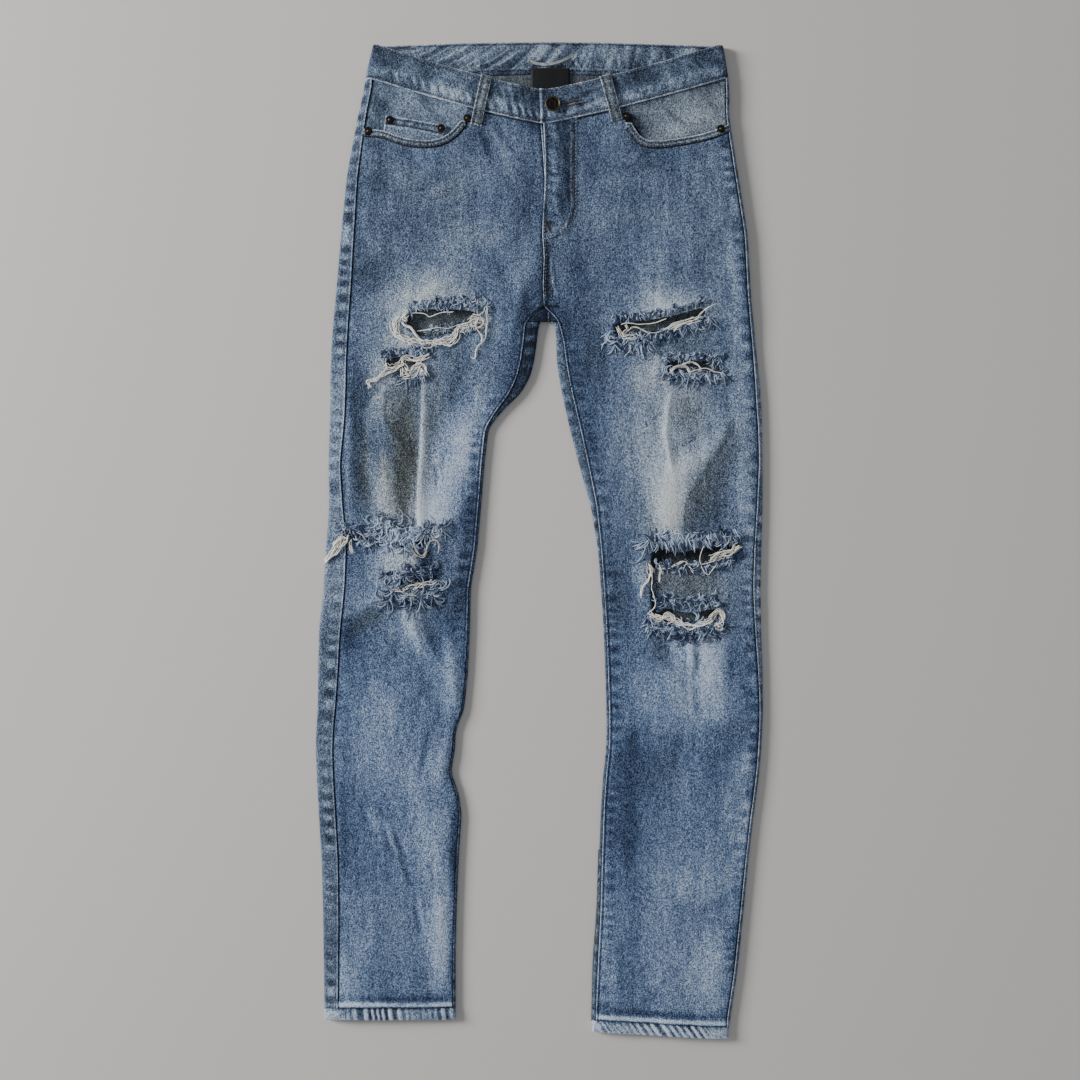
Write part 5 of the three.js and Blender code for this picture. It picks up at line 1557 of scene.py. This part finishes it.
def flat_under(x, y, along):
    """Just above the floor, facing down."""
    return np.full(x.shape, 0.1)


for name, place in (("right", -149.0), ("centre", 5.0), ("left", 172.0)):
    grid, along, off = strap_grid((place, 502.0), (place, 544.0), LOOP, flat_under)
    loop_cloth(f"belt_loop_back_{name}", grid, loop_wear_and_shade(along, off, LOOP, 173), False)


# %% Back pockets
POCKET_HEAD, POCKET_FOOT, POCKET_REACH = 425, 268, 72.0


def pocket_outline_width(y):
    """Half the width of a back pocket at a height: straight sides and a blunt point below."""
    return POCKET_REACH * np.clip((y - POCKET_FOOT + 6) / 34, 0.06, 1) ** 0.55


def build_back_pocket(half):
    middle = CENTRE - half.inward * 106.0
    y = (POCKET_HEAD - spread(POCKET_HEAD - POCKET_FOOT, 6.0, near=(0, 0.8, 2.0, 4.0)))[:, None]
    seam = np.array([[0.93, 0.96, 0.985, 1]])
    u = np.hstack([-seam[:, ::-1], np.linspace(-0.88, 0.88, 24)[None, :], seam])
    x = middle + pocket_outline_width(y) * u
    z = 0.05 + 0 * x
    edge = np.minimum((1 - np.abs(u)) * POCKET_REACH, np.minimum(POCKET_HEAD - y, y - POCKET_FOOT))
    # pale edges, with painted shade along the stitch lines
    wear = (
        0.05 + marks(edge, (0, 1.0, 0.4), (2.5, 0.9, -0.25), (8.5, 0.9, -0.25))
        + 0.12 * lumps(x, y, (20, 30), 181)
    )
    grid = np.stack([x, y + 0 * x, z], -1)
    return tailored(f"back_pocket_{half.name}", "denim", grid, wear, 0.3, True, [f"back_{half.name}"])


for half in HALVES:
    build_back_pocket(half)


# %% Label and hanger loop
def build_label():
    u, v = np.linspace(-1, 1, 22)[None, :], np.linspace(-1, 1, 14)[:, None]
    x, y = 12.0 + 21.0 * u + 0 * v, 506.5 + 11.5 * v + 0 * u
    z = 5.6 + 0.5 * (1 - u**2) + 0.25 * lumps(x, y, (9, 30), 191)
    grid = np.stack([x, y, z], -1)
    return tailored("label", "black_cloth", grid, 0.0, 0.0, True, ["waistband"], (label_cloth,), 0.5)


def build_hanger():
    path = [(-10, 526), (-4, 522.6), (5, 520.8), (14, 521.6), (24, 524.8), (37, 531.5)]
    points, heading = walked(path, 1.0)
    across = np.linspace(-1.4, 1.4, 6)
    place = ribbon(points, heading, across)
    share = np.linspace(0, 1, len(points))[:, None]
    z = 6.2 + 2.2 * np.sin(np.pi * share) + 0.35 * (across / 1.4)[None, :] ** 2
    grid = np.concatenate([place, z[..., None]], -1)
    wear = 0.35 + 0.35 * lumps(place[..., 0], place[..., 1], (3, 3), 193)
    return sewn(cloth("hanger_cloth", [(grid, wear, 0.0, None, True)], (tape,), 0.7), ["hanger_loop"])


build_label()
build_hanger()

# %% [markdown]
# ## Button and rivets
# The button is a pressed cap on a shank, with a raised rim and a ring inside it. Each rivet is a small
# domed cap with a nub in the middle. Both are turned shapes.

# %% Turned metal
def ring_faces(shape):
    """Faces of tubes with points numbered ring by ring; the last number of the shape goes round a ring."""
    number = np.arange(np.prod(shape)).reshape(shape)
    after = np.roll(number, -1, axis=-1)
    corners = (number[..., :-1, :], after[..., :-1, :], after[..., 1:, :], number[..., 1:, :])
    return np.stack(corners, -1).reshape(-1, 4)


def turned(name, profile, place, node, wear_from):
    """A solid of revolution about Z from (radius, height) points; high points are rubbed bright."""
    profile = np.array(profile, float)
    around = np.linspace(0, 2 * np.pi, 48, endpoint=False)
    ring = np.stack([np.cos(around), np.sin(around), 0 * around], -1)
    points = np.concatenate([place + r * ring + (0, 0, h) for r, h in profile])
    mesh = mesh_of(name, points, ring_faces((len(profile), around.size)), (metal,))
    height = profile[:, 1]
    paint(mesh, "wear", np.repeat(smoothstep(wear_from, height.max(), height), around.size))
    piece = placed(name, mesh)
    bevel = piece.modifiers.new("rounding", "SUBSURF")
    bevel.levels = bevel.render_levels = 1
    return sewn(piece, [node])


BUTTON = [
    (0.05, 2.5), (1.2, 2.5), (2.0, 2.3), (2.6, 2.75), (3.4, 2.8), (4.0, 2.4), (5.6, 2.2), (6.5, 2.5),
    (7.2, 3.1), (7.9, 3.2), (8.4, 2.8), (8.5, 2.1), (8.3, 1.4), (7.0, 1.0), (3.6, 0.9), (3.4, -2.6),
    (0.05, -2.6),
]
RIVET = [
    (0.05, 2.1), (0.8, 2.05), (1.3, 1.6), (1.7, 1.15), (2.5, 1.15), (3.3, 1.3), (4.0, 1.1), (4.45, 0.6),
    (4.5, 0.1), (4.3, -0.5), (0.05, -0.6),
]
button_top = float(upper(left, 14.5, 475.5)) + 2.6
turned("button_metal", BUTTON, (14.5, 475.5, button_top), "button", 2.6)
RIVETS = {
    "right_side": (right, -187.0, 447.0), "right_waist": (right, -79.0, 461.0),
    "coin_outer": (right, -163.5, 459.0), "coin_inner": (right, -107.5, 450.0),
    "left_waist": (left, 94.5, 463.0), "left_side": (left, 198.0, 450.0),
}
for name, (half, x, y) in RIVETS.items():
    turned(f"rivet_{name}_metal", RIVET, (x, y, float(upper(half, x, y)) + 0.9), f"rivet_{name}", 1.0)

# %% [markdown]
# ## Stitches
# The machine's lockstitch shows as a row of short rice-shaped threads, each sunk a little at its ends, one
# every 3.7 mm. They are made as joined meshes, one for each seam, from the seam's path. A bar tack is a
# dense zigzag across the end of a seam.

# %% Rows of stitches
RICE = np.array([(-0.5, 0.0), (-0.42, 0.55), (-0.15, 1.0), (0.15, 1.0), (0.42, 0.55), (0.5, 0.0)])


def trimmed(piece, trim):
    """Puts threads in the frame as trim of the cloth they are sewn to."""
    SHEETS[trim]["trim"].append(sewn(piece))
    return piece


STITCH_RADIUS = 0.42


def stitch_row(name, half, path, trim, proud=0.5, pitch=3.7, length=2.7, below=False, shade=0.35):
    points, heading = walked(path, pitch)
    middle = (points[:-1] + points[1:]) / 2
    forward = heading[:-1] + heading[1:]
    forward = forward / np.hypot(*forward.T)[:, None]
    aside = -right_of(forward)
    face = np.full(len(middle), -0.02 if below else 0.0)
    if not below:
        face = upper(half, middle[:, 0], middle[:, 1]) + proud
    corners = np.array([(0, 1), (1, 0), (0, -1), (-1, 0)]) * STITCH_RADIUS
    points = np.empty((len(middle), len(RICE), len(corners), 3))
    for ring, (along, girth) in enumerate(RICE):
        centre = middle + forward * (along * length)
        for corner, (side, rise) in enumerate(corners * max(girth, 0.2)):
            points[:, ring, corner, :2] = centre + aside * side
            points[:, ring, corner, 2] = face + rise - 0.35 * (1 - girth)
    mesh = mesh_of(name, points.reshape(-1, 3), ring_faces(points.shape[:3]), (stitching,))
    tones = shade + 0.25 * chance.uniform(-1, 1, len(middle))
    paint(mesh, "wear", np.repeat(tones, points[0].size // 3))
    return trimmed(placed(name, mesh), trim)


def offset_path(points, heading, distance):
    return points + right_of(heading) * distance


for half in HALVES:
    points, heading = mouth_path(half)
    for row, depth in enumerate((1.9, 6.4)):
        stitch_row(f"mouth_{half.name}_row_{row}", half, offset_path(points, heading, depth * half.inward),
                   f"pocket_band_{half.name}_cloth", proud=0.95, pitch=3.4, length=2.4, shade=0.25)
coin_top = [(-167.5, 463.5), (-135, 458.8), (-102.5, 452.3)]
for row, depth in enumerate((2.4, 7.2)):
    stitch_row(
        f"coin_row_{row}", right, [(x, y - depth) for x, y in coin_top], "coin_pocket_cloth", proud=0.25,
        pitch=3.4, length=2.4, shade=0.25
    )
for row, inset in enumerate((0.8, 5.4)):
    points, heading = fly_outline(inset)
    stitch_row(f"fly_row_{row}", left, points, "fly_cloth", proud=1.0, shade=0.5)
heights = np.linspace(448, 262, 60)
stitch_row(
    "centre_front_row", left, np.stack([fly_edge(heights) + 2.5, heights], -1), "front_left_cloth",
    proud=1.2, shade=0.3
)
heights = np.linspace(326, 262, 20)
stitch_row(
    "centre_front_row_low", left, np.stack([fly_edge(heights) + 9.0, heights], -1), "front_left_cloth",
    proud=0.5, shade=0.3
)
for half, start, end in ((right, 0, -178), (left, 6, 196)):
    x = np.linspace(start, end, 50)
    foot, head = np.stack([x, front_foot(x) + 2.4], -1), np.stack([x, front_top(x) - 2.8], -1)
    stitch_row(f"band_foot_{half.name}", half, foot, "waistband_cloth", proud=1.25, shade=0.3)
    stitch_row(f"band_head_{half.name}", half, head, "waistband_cloth", proud=1.25, shade=0.3)
for half in HALVES:
    level = half.hem_side + half.hem_height - 2.2
    inner, outer = half.inner(level), half.outer(level)
    share = np.linspace(0.03, 0.97, 40)
    path = np.stack([outer + (inner - outer) * share, level + half.hem_slant * share], -1)
    stitch_row(f"hem_{half.name}_row", half, path, f"hem_{half.name}_cloth", proud=1.0, shade=0.15)
    stitch_row(f"hem_{half.name}_row_below", half, path, f"hem_{half.name}_cloth", below=True, shade=0.3)
    foot, head = (np.array(end) for end in LOOP_ENDS[half.name])
    run = (head - foot) / np.hypot(*(head - foot))
    aside = np.array([run[1], -run[0]])
    for row, off in enumerate((-4.0, 4.0)):
        stitch_row(
            f"loop_{half.name}_row_{row}", half,
            [foot + run * 1.5 + aside * off, head - run * 1.5 + aside * off],
            f"belt_loop_front_{half.name}_cloth", proud=3.4, pitch=3.0, length=2.2, shade=0.4
        )

# %% [markdown]
# ## Torn threads
# The fringe is the cut warp: short, blue, curly, combed down the leg. The white strands are the weft that
# was left when the warp between them wore away; they hang across each hole in bundles that sag, twist and
# fray at the ends. All of them are thin tubes, joined into one mesh for each rip and colour.

# %% Tubes along many paths
def tubes(name, strands, finish, trim):
    """strands: (points (n, 3), radius, tone) each. Every strand is a four-sided tube, tapered at its tip."""
    all_points, all_faces, tones, base = [], [], [], 0
    for points, radius, tone in strands:
        heading = np.gradient(points, axis=0)
        heading /= np.linalg.norm(heading, axis=1)[:, None] + 1e-9
        aside = np.cross(heading, (0.0, 0.0, 1.0))
        aside /= np.linalg.norm(aside, axis=1)[:, None] + 1e-6
        rise = np.cross(aside, heading)
        girth = radius * np.concatenate([np.ones(len(points) - 1), [0.35]])
        ring = [aside, rise, -aside, -rise]
        all_points.append(np.stack([points + side * girth[:, None] for side in ring], axis=1).reshape(-1, 3))
        all_faces.append(base + ring_faces((len(points), 4)))
        tones.append(np.repeat(tone + 0.15 * np.linspace(-1, 1, len(points)), 4))
        base += len(points) * 4
    mesh = mesh_of(name, np.vstack(all_points), np.vstack(all_faces), (finish,))
    paint(mesh, "wear", np.concatenate(tones))
    print(f"{name}: {len(strands)} strands, {len(mesh.polygons)} faces")
    return trimmed(placed(name, mesh), trim)


def fringe(half, path, shortest, longest, lean, curl, tone):
    """Warp ends combed down from a torn edge, in small tufts that curl the same way."""
    roots = walked(places(path), 1.15)[0]
    roots = np.repeat(roots + chance.normal(0, (0.6, 0.12 * longest), roots.shape), 4, axis=0)
    count = len(roots)
    tuft = lambda spread: np.repeat(chance.normal(0, spread, count // 4), 4)
    size = np.repeat(chance.uniform(shortest, longest, count // 4), 4) * chance.uniform(0.6, 1.1, count)
    turn = (tuft(curl) + chance.normal(0, curl * 0.4, count))[:, None] + chance.normal(0, 0.16, (count, 7))
    angle = (lean - np.pi / 2 + tuft(0.4) + chance.normal(0, 0.22, count))[:, None] + np.cumsum(turn, axis=1)
    steps = (size / 7)[:, None, None] * np.stack([np.cos(angle), np.sin(angle)], -1)
    points = (roots + chance.normal(0, 0.7, roots.shape))[:, None] + np.cumsum(steps, axis=1)
    share = np.linspace(0, 1, 7)
    z = (
        upper(half, points[..., 0], points[..., 1]) + 0.4
        + chance.uniform(0.4, 2.6, count)[:, None] * np.sin(np.pi * share**0.8)
    )
    shades = tone + 0.06 + tuft(0.34) + chance.normal(0, 0.16, count)
    ends = zip(points, z, shades)
    return [(np.column_stack([xy, high]), chance.uniform(0.42, 0.74), shade) for xy, high, shade in ends]


def bundle(half, path, count, width, tone, fray=0.0):
    """Weft strands that follow a laid path together, each swaying on its own; fray fans out the far end."""
    strands = []
    base, heading = walked(smooth_path(places(path)), 1.5)
    aside = -right_of(heading)
    along = np.linspace(0, 1, len(base))
    reach = along * len(base) * 1.5
    for lane in chance.uniform(-0.5, 0.5, count):
        seed = int(chance.integers(1, 10**6))
        sway = [waver(reach, 12, seed + k) + 0.3 * waver(reach, 3.6, seed + k) for k in (0, 1)]
        start, stop = sorted(chance.uniform(0, 1, 2) * 0.12 + np.array([0, 0.88]))
        keep = (along >= start) & (along <= stop)
        fan = 1.5 * width * (1 + 2 * fray * along)
        points = base + aside * (fan * (0.6 * lane + 0.6 * sway[0]))[:, None]
        points = points + heading * (0.4 * fan * sway[1])[:, None]
        z = upper(half, points[:, 0], points[:, 1]) + 2.2 + 1.2 * sway[1] + lane
        girth, shade = chance.uniform(0.32, 0.54), tone + 0.12 + chance.normal(0, 0.26)
        strands.append((np.column_stack([points, z])[keep], girth, shade))
    return strands


# %% The threads of each rip
# Fringes: (path, shortest, longest, lean, curl, tone). Strands: (path, count, width, tone, fray).
TORN = {
    "thigh_right": (right, [
        ([-142, 256, -120, 260, -98, 261], 7, 12, 0, 0.45, 0.48),
        ([-102, 262, -80, 263, -58, 258], 9, 15, 0.1, 0.35, 0.22),
        ([-122, 232, -92, 235], 6, 11, 0, 0.4, 0.3), ([-92, 234, -68, 235], 7, 13, 0, 0.4, 0.2),
        ([-140, 216, -116, 215], 7, 11, 0.1, 0.35, 0.4),
    ], [
        ([-150, 247, -158, 239, -158, 231, -153, 224, -143, 220, -132, 217, -122, 214, -112, 217, -100, 218,
        -93, 221, -90, 228, -84, 233, -75, 235, -66, 242], 11, 4.6, 0.78, 0),
        ([-152, 242, -147, 235, -140, 232, -135, 225, -130, 219, -120, 215], 4, 1.8, 0.75, 0),
        ([-142, 247, -132, 248.5, -125, 247, -120, 243.5, -112, 247, -105, 249, -95, 249, -88, 252], 1, 0.6,
        0.8, 0),
        ([-135, 229, -122, 230, -112, 232, -100, 232, -88, 235, -76, 238], 2, 0.9, 0.7, 0),
        ([-58, 256, -57, 240, -58, 228, -61, 219, -67, 212, -70, 206, -71, 200, -75, 200, -77, 204], 2, 1,
        0.75, 0),
        ([-70, 244, -68, 232, -62, 222, -66, 213], 3, 1.6, 0.6, 0),
        ([-80, 240, -72, 244, -62, 240, -66, 233, -78, 236], 7, 4, 0.7, 0),
        ([-150, 252, -144, 249, -148, 243, -142, 240], 7, 3.6, 0.75, 0),
        ([-76, 254, -72, 261, -62, 258, -61, 250, -68, 246, -76, 250], 1, 1, 0.4, 0),
        ([-142, 222, -144, 216, -140, 212], 1, 1, 0.6, 0),
    ]),
    "thigh_right_low": (right, [
        ([-174, 207, -148, 206], 6, 10, 0.5, 0.35, 0.12), ([-148, 208, -120, 207], 6, 10, 0, 0.35, 0.34),
        ([-150, 184, -138, 182], 12, 20, 0, 0.3, 0.2), ([-138, 186, -122, 188], 10, 17, 0, 0.3, 0.46),
    ], [
        ([-171, 198, -166, 190, -158, 190, -152, 193, -148, 199, -138, 197, -128, 199, -119, 203], 8, 3.4,
        0.75, 0),
        ([-154, 192, -147, 183, -140, 182, -134, 188, -128, 190, -124, 184, -121, 179], 9, 4.6, 0.75, 0),
        ([-150, 188, -158, 185, -170, 181, -180, 177, -189, 175, -186, 166], 4, 1.8, 0.75, 0.4),
        ([-166, 194, -169, 186, -176, 178, -182, 172], 2, 1.4, 0.7, 0),
        ([-152, 200, -146, 190, -144, 180], 4, 3, 0.7, 0),
        ([-130, 200, -134, 190, -128, 182, -130, 174], 4, 3, 0.7, 0),
    ]),
    "thigh_left": (left, [
        ([82, 246, 118, 249, 150, 255, 180, 264], 7, 10, 0.1, 0.15, 0.18),
        ([78, 222, 98, 219, 122, 223], 13, 21, 0, 0.3, 0.32), ([84, 222, 116, 222], 8, 14, 0.1, 0.4, 0.12),
        ([120, 228, 142, 231, 164, 237, 186, 244], 11, 17, 0.1, 0.18, 0.26),
    ], [
        ([86, 235, 95, 238, 110, 236.5, 125, 238, 135, 241, 144, 244], 1, 0.8, 0.7, 0),
        ([88, 232, 93, 228, 104, 233, 118, 228, 128, 227, 138, 230, 145, 236, 155, 239, 165, 242, 172, 244,
        178, 250, 185, 255, 193, 260], 2, 1, 0.75, 0),
        ([142, 228, 152, 233, 160, 237, 170, 240, 178, 243], 9, 2.8, 0.75, 0),
        ([132, 228, 146, 236, 160, 241, 172, 246], 3, 1.6, 0.7, 0),
        ([84, 236, 88, 227, 92, 222, 100, 222, 108, 222], 6, 2.6, 0.65, 0),
        ([92, 238, 96, 231, 92, 226, 100, 224], 3, 1.6, 0.6, 0),
    ]),
    "thigh_left_low": (left, [
        ([138, 202, 168, 203], 6, 9, 0, 0.25, 0.4), ([168, 203, 200, 202], 6, 10, 0.2, 0.3, 0.16),
        ([137, 184, 166, 182, 200, 186], 11, 18, 0, 0.28, 0.3),
    ], [
        ([139, 181, 148, 188, 158, 193, 165, 195, 172, 192, 175, 187, 168, 184], 4, 1.6, 0.7, 0),
        ([164, 184, 175, 187, 182, 188, 190, 185, 203, 181], 2, 1.2, 0.7, 0),
        ([141, 187, 150, 191, 160, 190, 164, 184, 172, 185], 4, 1.8, 0.6, 0),
    ]),
    "knee_right": (right, [
        ([-216, 16, -196, 15], 9, 16, 0.2, 0.35, 0.08), ([-196, 12, -180, 12], 7, 13, 0, 0.4, 0.2),
        ([-182, 20, -164, 21, -148, 12], 16, 28, 0, 0.32, 0.5),
        ([-148, 10, -128, 14, -110, 20], 12, 24, 0.1, 0.36, 0.46),
        ([-200, 4, -180, 2], 10, 18, 0, 0.4, 0.34), ([-178, 2, -156, 0, -136, 0], 7, 14, 0, 0.4, 0.58),
    ], [
        ([-211, 8, -217, -2, -225, -12, -236, -25], 16, 5.6, 0.7, -0.36),
        ([-212, 6, -222, -1, -228, -7], 4, 2.4, 0.7, 0), ([-207, 3, -206, -8, -203, -15], 4, 1.6, 0.7, 0),
        ([-203, 10, -195, 7, -190, 1], 1, 1, 0.5, 0), ([-184, 3, -172, 9, -160, 7, -150, 1], 1, 1, 0.4, 0),
        ([-140, -2, -134, -14, -126, -16, -122, -4], 3, 2.4, 0.35, 0),
        ([-122, -1, -112, 0, -110, -8, -112, -15], 2, 1.4, 0.4, 0),
        ([-119, 16, -112, 12, -112, 4, -118, 4], 2, 1.4, 0.45, 0),
    ]),
    "knee_right_low": (right, [
        ([-172, -36, -146, -36], 9, 16, 0, 0.38, 0.32), ([-146, -32, -114, -27], 8, 15, 0, 0.38, 0.06),
        ([-170, -55, -144, -54, -112, -52], 12, 26, 0, 0.36, 0.3),
        ([-150, -60, -114, -56], 12, 24, 0, 0.36, 0.12),
    ], [
        ([-162, -54, -150, -56, -143, -52, -136, -50, -131, -49, -128, -55], 5, 2.4, 0.55, 0),
        ([-140, -54, -126, -48, -112, -46], 4, 2.6, 0.45, 0),
        ([-152, -58, -140, -62, -126, -56], 3, 3, 0.35, 0),
    ]),
    "knee_left": (left, [
        ([114, 4, 128, 7], 14, 26, 0.25, 0.16, 0.42), ([126, 6, 146, 6, 168, 7], 15, 21, 0.42, 0.07, 0.6),
        ([166, 7, 190, 10, 216, 9], 14, 20, 0.42, 0.1, 0.38),
        ([130, -25, 160, -26, 192, -26, 216, -16], 6, 13, 0.1, 0.3, 0.16),
    ], [
        ([182, -2, 178, -10, 175, -20, 178, -30, 184, -37, 190, -30, 197, -23], 1, 0.8, 0.65, 0),
        ([184, -22, 195, -18, 205, -14, 213, -10, 221, -5], 14, 4.6, 0.72, 0),
        ([200, -17, 208, -20, 207, -28], 1, 1, 0.5, 0),
        ([127, -31, 140, -29, 150, -25, 158, -23, 163, -28, 170, -36], 3, 1.4, 0.6, 0),
        ([148, -28, 156, -30, 160, -25, 176, -25, 192, -21], 1, 1.2, 0.55, 0),
        ([121, -25, 124, -40, 123, -52, 127, -70, 119, -81], 2, 1.2, 0.75, 0),
        ([118, -24, 123, -32, 119, -42, 113, -52, 111, -64], 4, 1.6, 0.7, 0),
        ([120, -24, 121, -32, 124, -40], 6, 3.6, 0.65, 0), ([130, -25, 133, -34, 129, -46], 3, 1.8, 0.6, 0),
    ]),
    "knee_left_low": (left, [
        ([129, -62, 160, -64, 200, -64], 9, 17, 0.1, 0.28, 0.24),
        ([116, -88, 150, -93, 202, -88], 10, 17, 0, 0.32, 0.28),
        ([128, -95, 160, -98, 196, -95], 10, 20, 0, 0.32, 0.14),
    ], [
        ([118, -80, 128, -84, 140, -84, 146, -87, 155, -92, 165, -94, 175, -92, 185, -90, 193, -85], 13,
        3.6, 0.75, 0),
        ([184, -90, 190, -82, 196, -77, 201, -83, 198, -90, 190, -93], 10, 3.4, 0.72, 0),
        ([122, -82, 130, -88, 138, -80, 146, -84, 138, -92], 4, 2.4, 0.7, 0),
        ([190, -92, 198, -96, 194, -88], 3, 2, 0.5, 0),
    ]),
}
for name, (half, fringes, bundles) in TORN.items():
    trim = f"front_{half.name}_cloth"
    warp = sum((fringe(half, *one) for one in fringes), [])
    tubes(f"{name}_warp", warp, blue_thread, trim)
    weft = sum((bundle(half, *one) for one in bundles), [])
    tubes(f"{name}_weft", weft, cream_thread, trim)

# %% Bar tacks and the buttonhole
def tack(name, start, end, width, finish, tone, trim, height):
    """A close zigzag of thread from start to end. height(x, y) gives Z."""
    points, heading = walked([start, end], 0.5)
    sides = np.where(np.arange(len(points)) % 2, 0.5, -0.5)[:, None] * width
    x, y = (points + (offset_path(points, heading, 1.0) - points) * sides).T
    tubes(name, [(np.column_stack([x, y, height(x, y)]), 0.34, tone)], finish, trim)


on_left = lambda x, y: upper(left, x, y) + 1.5
tack("fly_tack", (6.5, 348), (12.5, 336), 2.6, tan_thread, 0.6, "fly_cloth", on_left)
tack("crotch_tack", (3, 257), (17, 257), 2.4, stitching, 0.0, "front_left_cloth", on_left)
for row, off in enumerate((-1.7, 1.7)):
    tack(
        f"buttonhole_row_{row}", (24, 474 + off), (45, 479.5 + off), 1.8, tan_thread, 0.55,
        "waistband_cloth", lambda x, y: on_left(x, y) + 0.6
    )
for name, middle in (("right", -149.0), ("centre", 10.0), ("left", 172.0)):
    ends = [(middle + k, float(back_top(middle + k)) - 2.6) for k in (-5.5, 5.5)]
    tack(f"loop_tack_{name}", *ends, 2.8, tan_thread, 0.35, "waistband_cloth", lambda x, y: 6.3 + 0 * x)

# %% [markdown]
# ## The cut of each cloth
# The flat size of each cloth piece, measured along its surface, is kept in a table with the stitches and
# torn threads that are on it.

# %% [markdown]
# ## Floor
# A plain pale floor, a little rough, just under the cloth.

# %% Floor
def build_floor():
    bpy.ops.mesh.primitive_plane_add(size=7)
    floor = bpy.context.object
    floor.name = "floor"
    pale = Finish("pale_floor", roughness=0.95)
    pale.colour((0.6, 0.575, 0.54))
    floor.data.materials.append(pale.material)


build_floor()
